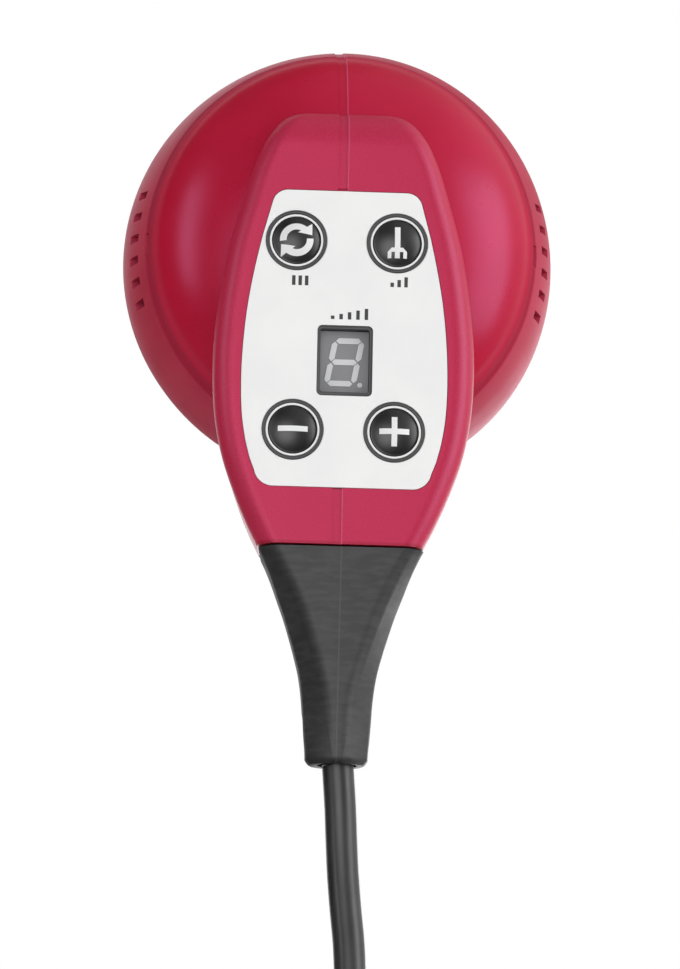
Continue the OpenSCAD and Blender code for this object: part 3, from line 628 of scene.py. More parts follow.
def handle_form(name, inset, bottom, fine):
    """The handle as a closed form, drawn in by inset on every side, in mm."""
    rows = [(bottom + (CROWN_Z - bottom) * i / (24 * fine), None, 0.0) for i in range(24 * fine)]
    for i in range(6 * fine + 1):
        turn = 90 * i / (6 * fine)
        a = math.radians(turn)
        rows.append((CROWN_Z + (CROWN - inset) * math.sin(a), turn, CROWN_RUN * (1 - math.cos(a))))
    rings = []
    for z, turn, roll_in in rows:
        if turn is None:
            half = read_smooth(HANDLE_SIDE, max(z, HANDLE_LOW))
        else:
            half = read_smooth(CROWN_SIDE, turn)
        # The foot is shallower by 5 mm
        front = min(HANDLE_FRONT, 10 + 5 * max(z - HANDLE_LOW, 0) / 16.1)
        section = box_section(
            half - inset, inset + HANDLE_BACK + roll_in, front - inset,
            rear_r=REAR_CORNER - inset - 0.3 * roll_in, front_r=FRONT_CORNER - inset, steps=4 * fine)
        rings.append([(x * draft(y), y, z) for x, y in section])
    return skinned(name, [metres(r) for r in rings])


def settled(made):
    """Bakes a piece's modifiers into its mesh."""
    ready = bpy.data.meshes.new_from_object(
        made.evaluated_get(bpy.context.evaluated_depsgraph_get()))
    old = made.data
    made.modifiers.clear()
    made.data = ready
    bpy.data.meshes.remove(old)
    ready.name = made.name
    return made


def carve(made, operation, *tools):
    """Joins tools to a piece, or takes them from it, one after another."""
    for tool in tools:
        step = made.modifiers.new("carve", "BOOLEAN")
        step.operation, step.solver, step.object = operation, "MANIFOLD", tool
    bpy.context.view_layer.update()
    settled(made)
    made.data.materials.clear()
    for tool in tools:
        bpy.data.objects.remove(tool)
    return made


def copy_of(made, name):
    other = bpy.data.objects.new(name, made.data.copy())
    scene.collection.objects.link(other)
    return other


def block(low, high):
    """A box between two corners, in mm."""
    corners = [(x, y, z) for x in (low[0], high[0]) for y in (low[1], high[1]) for z in (low[2], high[2])]
    return piece("block", metres(corners), [
        (0, 1, 3, 2), (4, 6, 7, 5), (0, 4, 5, 1), (2, 3, 7, 6), (0, 2, 6, 4), (1, 5, 7, 3)])


def post(x, z, radius, y0, y1, steps=48):
    """A round bar along Y, in mm."""
    return lathed("post", metres([(0, y0), (radius, y0), (radius, y1), (0, y1)]), steps,
                  (x / 1000, z / 1000), "Y")


def cross_bar(y, z, radius, x0, x1):
    """A round bar across the housing, along X, in mm."""
    made = post(0, 0, radius, x0, x1, 40)
    for p in made.data.vertices:
        p.co = (p.co.y, p.co.x + y / 1000, p.co.z + z / 1000)
    made.data.flip_normals()
    return made


def plate(name, outline, y0, y1):
    """A flat plate that faces -Y, from an outline of (x, z) pairs, in mm."""
    return skinned(name, [metres([(x, y, z) for x, z in outline]) for y in (y0, y1)])


# Half-width of the control panel by height, between its corners
PANEL_SIDE = [
    (5, 18.7), (9, 19.7), (14.5, 20.5), (22, 20.75), (30, 20.4), (37.5, 19.6), (44.5, 18.4), (51, 17)]


def corner_arc(x, z, radius, degrees):
    return [(x + radius * math.cos(math.radians(a)), z + radius * math.sin(math.radians(a)))
            for a in degrees]


def panel_outline(gap):
    """Outline of the control panel, let out by gap, as (x, z) pairs."""
    right = corner_arc(12, 57.3, 3.2 + gap, range(90, 14, -5))
    right += [(read_smooth(PANEL_SIDE, z) + gap, z) for z in range(51, 4, -1)]
    right += corner_arc(14, 3.2, 3.8 + gap, range(-10, -91, -5))
    return right + [(-x, z) for x, z in reversed(right)]


def soft_corners(half_x, half_z, radius, centre_z):
    return [(x, z + centre_z) for x, z in rounded_outline(half_x, -half_z, half_z, radius, 8)]


def housing_cavity(hand):
    """The room inside the shells, less the ribs and bosses of one hand."""
    room = body_form("cavity", WALL, 1, 128)
    carve(room, "UNION", handle_form("cavity_handle", WALL, NECK_Z - 0.2, 1),
          post(0, AXIS * 1000, front_radius(OPEN_Y) - WALL, OPEN_Y - 1, OPEN_Y + 1, 96))
    # Two ribs round the air duct, pierced for the leads of the heater
    ribs = []
    for y in (46.2, 50.2):
        ribs.append(turned("rib", [(34, y), (44, y), (44, y + 1.6), (34, y + 1.6)], 96))
        carve(ribs[-1], "DIFFERENCE", post(-5, 19.4, 1.5, y - 1, y + 3), post(5, 19.4, 1.5, y - 1, y + 3))
    # Bosses of the screws and the locating pin, posts of the board and the clamp, and the block
    # that backs the cord
    boss_r = 4.4 if hand < 0 else 3.2
    ribs += [cross_bar(y, z, boss_r, -30, 30) for y, z in BOSSES]
    ribs.append(cross_bar(*LOCATING_PIN, 3.2, -30, 30))
    for x in (-14, 14):
        for z in (22, 38):
            ribs += [post(x, z, 2, -14, -5.1), post(x, z, 1, -6.1, -2.9)]
    ribs += [post(x, CLAMP_Z, 2.4, -14, -6.2) for x in (-CLAMP_X, CLAMP_X)]
    ribs.append(block((-4, -14, -2), (4, -6.4, 4)))
    carve(room, "DIFFERENCE", *ribs)
    return room


outer = body_form("housing", 0, 4, 240)
carve(outer, "UNION", handle_form("handle", 0, HANDLE_LOW, 4))


def round_axis(made, turn):
    """Turns a piece about the fan axis, from its place right of the origin."""
    made.data.transform(Matrix.Translation((0, 0, AXIS)) @ Matrix.Rotation(-turn, 4, "Y"))
    return made


# The panel's pocket, the boot's neck, the keys, the window, a nick above and one below the panel,
# and the clamp's screw holes
cuts = [plate("pocket", panel_outline(0.12), -17.1, -14),
        block((-11.2, -9.2, NECK_Z - 4), (11.2, 4.2, NECK_Z + 0.3))]
cuts += [post(x, z, 5.1, -16, -11) for x, z in BUTTONS.values()]
cuts.append(plate("window", soft_corners(*WINDOW, DISPLAY_Z), -16, -11))
cuts += [block((-2, -16, z), (0, -14.4, z + 0.7)) for z in (60.4, -1)]
cuts += [post(x, CLAMP_Z, 1.02, -12, -6) for x in (-CLAMP_X, CLAMP_X)]
# On each side six intake slots in the skirt and a notch in its lip
for turn in (0, math.pi):
    cuts += [round_axis(block((38, 10.2, -0.85), (50, 14.2, 0.85)), turn + math.radians(6.3 * (i - 2.5)))
             for i in range(6)]
    cuts.append(round_axis(block((39.9, 4, -2.3), (43.4, 7.5, 2.3)), turn))
carve(outer, "DIFFERENCE", *cuts)

crimson, shader, point = finish_of("crimson_shell", 0.34, coat_roughness=0.42)
shader.inputs["Specular Tint"].default_value = (0.95, 0.5, 1.0, 1)
place = point.node("ShaderNodeSeparateXYZ", None, {0: point})
across, back, up = (Wire(place.tree, out) for out in place.socket.node.outputs)
on_handle, on_skirt = back.ease(-0.0086, -0.0102), back.ease(0.0066, 0.0078)
past_dome = back.ease(0.0, 0.003)
# Clouded dome darkened towards its rim by painted shade, chalky skirt and taper, spark-grained handle
dome = back.ease(0.0024, 0.0044).blend(
    clouded(point, 45.0, rgb(176, 11, 42), rgb(183, 14, 48)), rgb(156, 6, 36))
chalky = clouded(point, 70.0, rgb(170, 36, 56), rgb(178, 45, 65))
sparks = noise(point, 3800.0, 1.0).ease(0.35, 0.7).blend(rgb(176, 20, 55), rgb(187, 30, 66))
skin = on_handle.blend(on_skirt.blend(dome, chalky), sparks)
# Painted highlights on a pale edge round the back of the handle and along the parting line, and painted
# shade over the handle's lower end
skin = abs(back + 0.0103).ease(0.0004, 0.0002).blend(skin, rgb(226, 124, 146))
skin = up.ease(-0.0114, -0.0117).blend(skin, rgb(160, 8, 36))
feed(shader, "Base Color", abs(across).ease(0.0002, 0.00008).blend(skin, rgb(206, 70, 104)))
sheen = 0.25 + 0.07 * noise(point, 160.0)
feed(shader, "Roughness", sheen + 0.13 * on_handle + 0.6 * past_dome - 0.36 * on_skirt)
feed(shader, "Coat Weight", 0.3 * on_handle)
bumped(shader, noise(point, 3200.0, 1.0) * on_handle, 0.00002)

# The left shell is drawn in by 0.22 mm beside the parting line
GROOVE = 0.22
inner_form = body_form("groove_body", GROOVE, 4, 240)
carve(inner_form, "UNION", handle_form("groove_handle", GROOVE, -14, 4))
strip = block((-1.9, -30, -20), (1, 60, 110))
carve(strip, "DIFFERENCE", inner_form)

# The left shell has the screws' recesses and the pin's socket, the right one the screw threads and
# the pin
for hand, name in ((-1, "left_shell"), (1, "right_shell")):
    shell = copy_of(outer, name)
    carve(shell, "DIFFERENCE", housing_cavity(hand))
    if hand < 0:
        carve(shell, "DIFFERENCE", strip)
        holes = []
        for y, z in BOSSES:
            holes += [cross_bar(y, z, 3.1, -60, -4), cross_bar(y, z, 1.7, -4.5, 2)]
        holes.append(cross_bar(*LOCATING_PIN, 1.7, -5, 1))
        holes.append(block((0, -30, -20), (60, 90, 110)))
    else:
        holes = [cross_bar(y, z, 1.52, -1, 8) for y, z in BOSSES]
        holes.append(block((-60, -30, -20), (0, 90, 110)))
    carve(shell, "DIFFERENCE", *holes)
    if hand > 0:
        carve(shell, "UNION", cross_bar(*LOCATING_PIN, 1.65, -4, 1))
    fitted(smoothed(shell, 32), crimson, "casing", "crimson_shell",
           "left_housing" if hand < 0 else "right_housing")
bpy.data.objects.remove(outer)

# ---------------------------------------------------------------- control panel
# A pale plastic plate snapped into the pocket of the handle, with four round holes, a window and
# dark printed marks over the keys and the display.


def rounded_edges(made, width):
    """Rounds a piece's sharp edges over, width in mm."""
    step = made.modifiers.new("round_over", "BEVEL")
    step.width, step.segments = width / 1000, 2
    step.limit_method, step.angle_limit = "ANGLE", math.radians(40)
    step.harden_normals = False
    return settled(made)


def slab(rows, top, bottom, finish):
    """A thin closed sheet over rows of (x, z) pairs, as (points, faces, finish number). Its two
    skins lie at the depths that top and bottom give for a place."""
    high, wide = len(rows), len(rows[0])
    points = [(x, depth(x, z), z) for depth in (top, bottom) for row in rows for x, z in row]
    under = high * wide
    faces = []
    for j in range(high - 1):
        for i in range(wide - 1):
            a, b, c, d = j * wide + i, j * wide + i + 1, (j + 1) * wide + i + 1, (j + 1) * wide + i
            faces += [(a, b, c, d), (d + under, c + under, b + under, a + under)]
    rim = ([(0, i) for i in range(wide)] + [(j, wide - 1) for j in range(1, high)]
           + [(high - 1, i) for i in range(wide - 2, -1, -1)] + [(j, 0) for j in range(high - 2, 0, -1)])
    for (j, i), (k, m) in zip(rim, rim[1:] + rim[:1]):
        a, b = j * wide + i, k * wide + m
        faces.append((a, a + under, b + under, b))
    return points, faces, finish


def with_print(made, slabs):
    """Adds slabs to a piece as further closed bodies with their own finish."""
    work = bmesh.new()
    work.from_mesh(made.data)
    for points, faces, finish in slabs:
        corners = [work.verts.new(p) for p in metres(points)]
        added = [work.faces.new([corners[i] for i in face]) for face in faces]
        for face in added:
            face.material_index = finish
        bmesh.ops.recalc_face_normals(work, faces=added)
    work.to_mesh(made.data)
    work.free()
    return made


# Depth of the panel's face, and how far all print stands proud
PANEL_FRONT, PROUD = -14.95, 0.02
panel = plate("keypad_panel", panel_outline(0), PANEL_FRONT, -14.05)
holes = [post(x, z, 5.0, -16, -13, 96) for x, z in BUTTONS.values()]
holes.append(plate("window", soft_corners(*WINDOW, DISPLAY_Z), -16, -13))
for x, z in BUTTONS.values():
    holes.append(lathed("ring_seat", metres([(5.4, -16), (6.25, -16), (6.25, -14.5), (5.4, -14.5)]), 96,
                        (x / 1000, z / 1000), "Y"))
carve(panel, "DIFFERENCE", *holes)
rounded_edges(panel, 0.1)
# Printed bars as (x, height, z): three centred ones and two rows that grow from a base line
marks = [(-10.6, 2.0, 41.7), (-9.3, 2.0, 41.7), (-8.0, 2.0, 41.7)]
marks += [(9.3 + 1.4 * i, 0.9 + 0.6 * i, 40.9) for i in range(3)]
marks += [(-2.6 + 1.7 * i, 0.7 + 0.4 * i, 33.9) for i in range(5)]
bars = []
for i, (x, tall, z) in enumerate(marks):
    low = z - tall / 2 if i < 3 else z
    bars.append(slab(
        [[(x - 0.35, y), (x + 0.35, y)] for y in (low, low + tall)],
        lambda x, z: PANEL_FRONT - PROUD, lambda x, z: PANEL_FRONT + 0.1, 1))
with_print(panel, bars)
panel_plastic = moulded(
    "panel_plastic", rgb(233, 233, 233), rgb(238, 238, 237), 0.38, 700.0, 0.000004, coat=0.15,
    specular=0.4)
panel_print = moulded("panel_print", rgb(44, 44, 46), rgb(52, 52, 54), 0.5, 900.0, 0.000002)
smoothed(panel, 40)
# The front is quite flat
for face in panel.data.polygons:
    if face.normal.y < -0.9999:
        face.use_smooth = False
fitted(panel, [panel_plastic, panel_print], "casing", "pale_panel", "control_panel")

# ---------------------------------------------------------------- trim rings
# Four dark grey plastic rings, pressed into round seats of the panel, a touch proud of it.


def shaping(title, kinds):
    """A new tree of geometry nodes: (a wire to start from, wires of its inputs, their names)."""
    tree = bpy.data.node_groups.new(title, "GeometryNodeTree")
    names = {
        label: tree.interface.new_socket(
            label, in_out="INPUT", socket_type="NodeSocket" + kind).identifier
        for label, kind in kinds}
    tree.interface.new_socket("Pieces", in_out="OUTPUT", socket_type="NodeSocketGeometry")
    start = Wire(tree).node("NodeGroupInput")
    return start, {s.name: Wire(tree, s) for s in start.socket.node.outputs}, names


def shaped(name, shape, given, names, values, points=()):
    """Bakes the shape that a tree ends in, given its input values, into a new plain mesh."""
    plain = shape.node("GeometryNodeRealizeInstances", None, {0: shape})
    dressed = shape.node(
        "GeometryNodeSetMaterial", None, {"Geometry": plain, "Material": given["Finish"]})
    shape.node("NodeGroupOutput", None, {0: dressed})
    mesh = bpy.data.meshes.new(name)
    mesh.from_pydata(points, [], [])
    made = bpy.data.objects.new(name, mesh)
    scene.collection.objects.link(made)
    step = made.modifiers.new(shape.tree.name, "NODES")
    step.node_group = shape.tree
    for label, value in values.items():
        step[names[label]] = value
    return settled(made)


def copies(name, master, places, finish):
    """Sets the master piece at every place, in mm, as one plain mesh."""
    start, given, names = shaping(
        "set_at_places", (("Places", "Geometry"), ("Master", "Object"), ("Finish", "Material")))
    one = start.node("GeometryNodeObjectInfo", None, {"Object": given["Master"]}, out="Geometry")
    spread = start.node(
        "GeometryNodeInstanceOnPoints", None, {"Points": given["Places"], "Instance": one})
    made = shaped(name, spread, given, names, {"Master": master, "Finish": finish}, metres(places))
    bpy.data.objects.remove(master)
    return made


ring_plastic = moulded("ring_plastic", rgb(52, 52, 54), rgb(62, 62, 64), 0.42, 900.0, 0.000004)
ring = lathed("ring", metres([
    (5.5, -14.5), (5.5, -15.02), (5.54, -15.08), (5.62, -15.1), (6.03, -15.1), (6.11, -15.08),
    (6.15, -15.02), (6.15, -14.5)]), 120, (0, 0), "Y")
rings = copies("trim_rings", ring, [(x, 0, z) for x, z in BUTTONS.values()], ring_plastic)
fitted(smoothed(rings, 50), ring_plastic, "casing", "black_plastic", "button_trim_rings")

# ---------------------------------------------------------------- push buttons
# Four domed caps of satin black plastic, each with a collar that holds it behind the panel, a
# stem on its switch and a pale symbol printed on top.

# Depth of a cap's top and radius of its dome
CAP_TOP, CAP_DOME = -15.9, 9.8


def dome_depth(x, z):
    """Depth of the dome's skin at a place on the cap, in mm."""
    return -math.sqrt(max(0.0, CAP_DOME ** 2 - x * x - z * z)) + CAP_DOME + CAP_TOP


def bar(x0, z0, x1, z1):
    """Rows of a straight bar between two corners, fine enough to lie on the dome."""
    wide, high = (max(2, round(abs(length) / 0.35) + 1) for length in (x1 - x0, z1 - z0))
    return [[(x0 + (x1 - x0) * i / (wide - 1), z0 + (z1 - z0) * j / (high - 1)) for i in range(wide)]
            for j in range(high)]


def between(one, other, count=6, wide=5):
    """Rows from the line one to the line other, each a pair of (x, z) ends."""
    rows = []
    for j in range(count):
        t = j / (count - 1)
        ends = [(a[0] + (b[0] - a[0]) * t, a[1] + (b[1] - a[1]) * t) for a, b in zip(one, other)]
        rows.append([(ends[0][0] + (ends[1][0] - ends[0][0]) * i / (wide - 1),
                      ends[0][1] + (ends[1][1] - ends[0][1]) * i / (wide - 1)) for i in range(wide)])
    return rows


def bow(inner, outer, start, end):
    """Rows of a band along an arc, in mm and degrees."""
    count, wide = 18, 5
    return [[(r * math.cos(a), r * math.sin(a)) for r in (
        inner + (outer - inner) * i / (wide - 1) for i in range(wide))]
        for a in (math.radians(start + (end - start) * j / (count - 1)) for j in range(count))]


def opposite(rows):
    return [[(-x, -z) for x, z in row] for row in rows]


arrow = [bow(2.05, 3.4, 186, 52), between(((3.15, 3.55), (0.25, 1.45)), ((3.12, 1.06), (3.08, 1.02)))]
SYMBOLS = {
    "heat": arrow + [opposite(rows) for rows in arrow],
    "boost": [bar(-0.56, -1.1, 0.56, 3.25), bar(-1.95, -3.2, -1.2, -1.95), bar(1.2, -3.2, 1.95, -1.95),
              bar(-0.5, -3.2, 0.5, -1.95),
              between(((-1.95, -1.95), (1.95, -1.95)), ((-1.15, -1.1), (1.15, -1.1)), 5, 11)],
    "slower": [bar(-3, -0.55, 3, 0.55)],
    "faster": [bar(-3, -0.57, 3, 0.57), bar(-0.57, 0.57, 0.57, 3), bar(-0.57, -3, 0.57, -0.57)],
}
cap_plastic = moulded(
    "cap_plastic", rgb(17, 17, 18), rgb(29, 29, 30), 0.4, 800.0, 0.000004, coat=0.5, coat_roughness=0.3)
cap_print = moulded("cap_print", rgb(222, 222, 222), rgb(236, 236, 236), 0.45, 900.0, 0.000002)
# Dome, rounded edge, skirt, collar and stem
cap_line = [(0, CAP_TOP)] + [(r, dome_depth(r, 0)) for r in (4.6 * i / 20 for i in range(1, 21))]
cap_line += [(4.72, dome_depth(4.65, 0)), (4.8, dome_depth(4.8, 0) + 0.08)]
cap_line += [(4.8, -12.4), (5.7, -12.4), (5.7, -11.6), (1.7, -11.6), (1.7, -9.4), (0, -9.4)]
for key, (x, z) in BUTTONS.items():
    cap = lathed(key + "_cap", metres(cap_line), 96, (0, 0), "Y")
    smoothed(with_print(cap, [
        slab(rows, lambda u, v: dome_depth(u, v) - PROUD, lambda u, v: dome_depth(u, v) + 0.08, 1)
        for rows in SYMBOLS[key]]), 40)
    cap.data.transform(Matrix.Translation((x / 1000, 0, z / 1000)))
    fitted(cap, [cap_plastic, cap_print], key + "_key", "black_plastic", key + "_button")

# ---------------------------------------------------------------- display
# A one-digit LED module behind a black moulded frame: a grey potted face with seven slanted
# light bars and a point.

bezel = plate("display_frame", soft_corners(5.5, 7.15, 0.9, DISPLAY_Z), PANEL_FRONT, -12.4)
carve(bezel, "DIFFERENCE", plate("window", soft_corners(4.96, 6.5, 0.5, DISPLAY_Z), -16, -12))
rounded_edges(bezel, 0.08)
frame_plastic = moulded("frame_plastic", rgb(56, 56, 58), rgb(64, 64, 66), 0.4, 900.0, 0.000004)
fitted(smoothed(bezel, 40), frame_plastic, "casing", "black_plastic", "display_bezel")


def repaint(finish, *names):
    """Gives CAD nodes a finish."""
    for name in names:
        cad[name].data.materials.clear()
        cad[name].data.materials.append(finish)


repaint(moulded("potting_resin", rgb(128, 128, 130), rgb(136, 136, 138), 0.35, 600.0, 0.000006),
        "display_module")
repaint(moulded("segment_lens", rgb(208, 208, 210), rgb(218, 218, 220), 0.5, 900.0, 0.000004),
        "display_segments")

# ---------------------------------------------------------------- cord boot
# Strain relief of soft black rubber, moulded round the cord. Its rear is flat between two soft
# ridges that run together towards the cord, and its neck is held in the housing by a flange.

# By height, in mm: half-width of the boot and of the flat between its ridges
BOOT_SIDE = [
    (-55.1, 5.6), (-54.1, 6.4), (-52.1, 6.8), (-47.1, 6.9), (-42.1, 7.2), (-37.1, 7.9), (-33.1, 8.9),
    (-29.1, 10.1), (-25.1, 11.4), (-21.1, 12.9), (-17.6, 14.2), (-14.6, 15.5), (-12.5, 16.6)]
BOOT_RIDGE = [
    (-55.1, 0.6), (-53.1, 0.8), (-47.7, 1.5), (-39.6, 3), (-31.6, 5.6), (-24, 8.4), (-16, 12),
    (-12.5, 13.8)]
BOOT_TOP, BOOT_ROWS = -12.5, 90


def rounded_polygon(corners, steps):
    """Outline through (x, y, radius) corners, each rounded by its own arc."""
    made = []
    for i, (x, y, radius) in enumerate(corners):
        here = Vector((x, y))
        to = [(Vector(corners[k % len(corners)][:2]) - here).normalized() for k in (i - 1, i + 1)]
        half = to[0].angle(to[1]) / 2
        middle = here + (to[0] + to[1]).normalized() * radius / math.sin(half)
        first = here + to[0] * radius / math.tan(half) - middle
        last = here + to[1] * radius / math.tan(half) - middle
        for n in range(steps + 1):
            t = n / steps
            made.append(middle + (first * (1 - t) + last * t).normalized() * radius)
    return made


rings = []
for i in range(BOOT_ROWS + 1):
    z = BOOT_END + (BOOT_TOP - BOOT_END) * i / BOOT_ROWS
    share = (z - BOOT_END) / (BOOT_TOP - BOOT_END)
    below = unit((BOOT_TOP - z) / 12)
    # Sideways lean, then the section: rear, front, ridges and the depth of their flanks
    lean = 0.22 + 0.18 * below * below * (3 - 2 * below)
    half = read_smooth(BOOT_SIDE, z)
    end = max(0.0, 6.3 - half)
    back = -9.3 - 5.3 * share ** 1.3 + end
    front = 3.3 + 6.3 * share ** 1.6 - end
    ridge = min(read_smooth(BOOT_RIDGE, z), half - 1.2)
    slope = (0.14 + 0.28 * below) * (front - back)
    soft = min(3.4, 1.6 * ridge)
    outline = rounded_polygon([
        (ridge, back, soft), (half, back + slope, 3), (half, front, min(4.5, 0.45 * half)),
        (-half, front, min(4.5, 0.45 * half)), (-half, back + slope, 3), (-ridge, back, soft)], 6)
    # The section turns round towards the cord
    middle = Vector((0, (front + back) / 2))
    to_round = unit((-44 - z) / 8)
    ring = []
    for p in outline:
        out = p - middle
        circle = middle + out.normalized() * min(half, (front - back) / 2)
        p = p.lerp(circle, to_round)
        ring.append((p.x * (1 - share + share * draft(p.y)) + lean, p.y, z))
    rings.append(metres(ring))
boot = skinned("rubber_boot", rings)
neck = block((-11, -9, NECK_Z - 4), (11, 4, NECK_Z))
flange = block((-12.8, -11, NECK_Z), (12.8, 6, NECK_Z + 2.3))
carve(boot, "UNION", neck, flange)
bores = [
    lathed("bore", metres([(0, low), (r, low), (r, high), (0, high)]), 64, (x / 1000, -0.003))
    for r, x, low, high in (
        (3.28, 0, BOOT_END - 1, NECK_Z + 3), (4, 0.6, BOOT_END - 1, BOOT_END + 3))]
# The cord leans from its top end, in the clamp, a little to the right
CORD_TOP = 4.6
cord_lean = (Matrix.Translation((0, 0, CORD_TOP / 1000))
             @ Matrix.Rotation(-math.atan(0.8 / (CORD_TOP - BOOT_END)), 4, "Y")
             @ Matrix.Translation((0, 0, -CORD_TOP / 1000)))
bores[0].data.transform(cord_lean)
carve(boot, "DIFFERENCE", *bores)
boot_rubber, shader, point = finish_of("boot_rubber", 0.46)
shader.inputs["Specular IOR Level"].default_value = 0.7
streak = streaks(point, (0.25, 0.25, 1), 900.0)
moulding_seam = abs(point.node("ShaderNodeSeparateXYZ", None, {0: point}) - 0.0001).ease(0.0002, 0.0001)
rubber = streak.ease(0.35, 0.7).blend(rgb(41, 41, 43), rgb(54, 54, 56))
feed(shader, "Base Color", moulding_seam.blend(rubber, rgb(62, 62, 64)))
feed(shader, "Roughness", 0.5 + 0.1 * noise(point, 260.0))
bumped(shader, streak, 0.00004)
fitted(smoothed(boot, 50), boot_rubber, "casing", "boot_rubber", "cord_boot")

# ---------------------------------------------------------------- outlet nozzle
# Dark grey moulded nozzle that narrows the air to the outlet spigot. Its collar sits between the
# open fronts of the two shells.

# (radius, y) of its collar, outer sweep, rounded spigot end and inner sweep
nozzle_line = [(30.2, 66.5), (30.2, 70.15), (32.35, 70.15), (32.53, 70.22), (32.6, 70.4)]
nozzle_line += [(24 + 8.6 * (1 - math.sin(a)), 71.4 + 14 * (1 - math.cos(a)))
                for a in (math.pi / 2 * i / 20 for i in range(21))]
nozzle_line += [(24, 103.3), (23.82, 103.78), (23.4, 104), (22.6, 104), (22.38, 103.92), (22.3, 103.7)]
nozzle_line += [(22.3 + 7 * (1 - math.sin(a)), 70.4 + 13 * (1 - math.cos(a)))
                for a in (math.pi / 2 * (1 - i / 16) for i in range(17))]
nozzle_line += [(28.4, 66.5)]
nozzle_plastic = moulded("nozzle_plastic", rgb(46, 46, 48), rgb(55, 55, 57), 0.42, 1000.0, 0.00003)
nozzle = lathed("nozzle", metres(nozzle_line), 192, (0, AXIS), "Y")
fitted(smoothed(nozzle, 35), nozzle_plastic, "casing", "dark_grey_plastic", "outlet_nozzle")

# ---------------------------------------------------------------- outlet grille
# Moulded finger guard inside the spigot: an outer ring, three inner rings and six spokes.


def turned_copies(name, master, count, finish):
    """Sets the master piece round the fan axis, count times, as one plain mesh."""
    start, given, names = shaping("set_round_axis", (
        ("Count", "Int"), ("Centre", "Vector"), ("Master", "Object"), ("Finish", "Material")))
    places = start.node(
        "GeometryNodePoints", None, {"Count": given["Count"], "Position": given["Centre"]})
    angle = start.node("GeometryNodeInputIndex") * (2 * math.pi) / given["Count"]
    turn = start.node("ShaderNodeCombineXYZ", None, {1: angle})
    one = start.node("GeometryNodeObjectInfo", None, {"Object": given["Master"]}, out="Geometry")
    spread = start.node(
        "GeometryNodeInstanceOnPoints", None, {"Points": places, "Instance": one, "Rotation": turn})
    made = shaped(name, spread, given, names, {
        "Count": count, "Centre": (0.0, 0.0, AXIS), "Master": master, "Finish": finish})
    bpy.data.objects.remove(master)
    return made


def bevelled_ring(name, inner, outer, y0, y1, edge, steps=144):
    """A ring round the fan axis with softened edges, in mm."""
    return lathed(name, metres([
        (inner + edge, y0), (outer - edge, y0), (outer, y0 + edge), (outer, y1 - edge),
        (outer - edge, y1), (inner + edge, y1), (inner, y1 - edge), (inner, y0 + edge)]),
        steps, (0, AXIS), "Y")


spoke = block((5, 95.4, -0.6), (21, 97.6, 0.6))
rounded_edges(spoke, 0.2)
grille = bevelled_ring("grille", 20.6, 22.2, 95, 98, 0.25)
guard_rings = [bevelled_ring("guard_ring", r, r + 1.3, 95.4, 97.6, 0.25) for r in (4.4, 9.6, 14.8)]
carve(grille, "UNION", *guard_rings, turned_copies("spokes", spoke, 6, nozzle_plastic))
fitted(smoothed(grille, 40), nozzle_plastic, "casing", "dark_grey_plastic", "outlet_grille")

# ---------------------------------------------------------------- screws
# Zinc-plated pan-head screws: five hold the housing halves together, from the left, and two
# smaller ones hold the cord clamp.


def metal(name, dark, light, roughness, scratches=400.0, along=(1, 0.05, 1)):
    """Bare metal: clouded colour and fine drawn lines in its sheen."""
    made, shader, point = finish_of(name, roughness, metallic=1.0)
    drawn = streaks(point, along, scratches)
    feed(shader, "Base Color", clouded(point, 80.0, dark, light))
    feed(shader, "Roughness", roughness - 0.08 + 0.16 * drawn)
    bumped(shader, drawn, 0.000006)
    return made


def screw(name, head_r, head_at, head_tall, shank_r, tip):
    """A cross-headed screw along Y with its tip at the far end, in mm."""
    top = head_at - head_tall
    made = lathed(name, metres([
        (0, top), (head_r * 0.55, top + 0.08), (head_r * 0.85, top + 0.3), (head_r, top + 0.75),
        (head_r, head_at), (shank_r, head_at), (shank_r, tip - 0.6), (shank_r * 0.55, tip),
        (0, tip)]), 48, (0, 0), "Y")
    reach = head_r * 0.62
    return carve(made, "DIFFERENCE", block((-reach, top - 1, -0.35), (reach, top + 1, 0.35)),
                 block((-0.35, top - 1, -reach), (0.35, top + 1, reach)))


zinc = metal("zinc_plate", rgb(168, 170, 172), rgb(192, 193, 194), 0.34)
shell_screw = screw("shell_screw", 2.8, -4, 2.2, 1.5, 7)
shell_screw.data.transform(Matrix.Rotation(-math.pi / 2, 4, "Z"))
shell_screws = copies("shell_screws", shell_screw, [(0, y, z) for y, z in BOSSES], zinc)
fitted(smoothed(shell_screws, 35), zinc, "casing", "steel", "housing_screws")
clamp_screw = screw("clamp_screw", 2, -2.4, 1.6, 1, 11)
clamp_screw.data.transform(Matrix.Rotation(math.pi, 4, "Z"))
clamp_pair = copies(
    "clamp_screw_pair", clamp_screw, [(-CLAMP_X, 0, CLAMP_Z), (CLAMP_X, 0, CLAMP_Z)], zinc)
fitted(smoothed(clamp_pair, 35), zinc, "casing", "steel", "clamp_screws")

# ---------------------------------------------------------------- heating coil
# Eight turns of nickel-chrome wire wound over the notched edges of the mica cross.

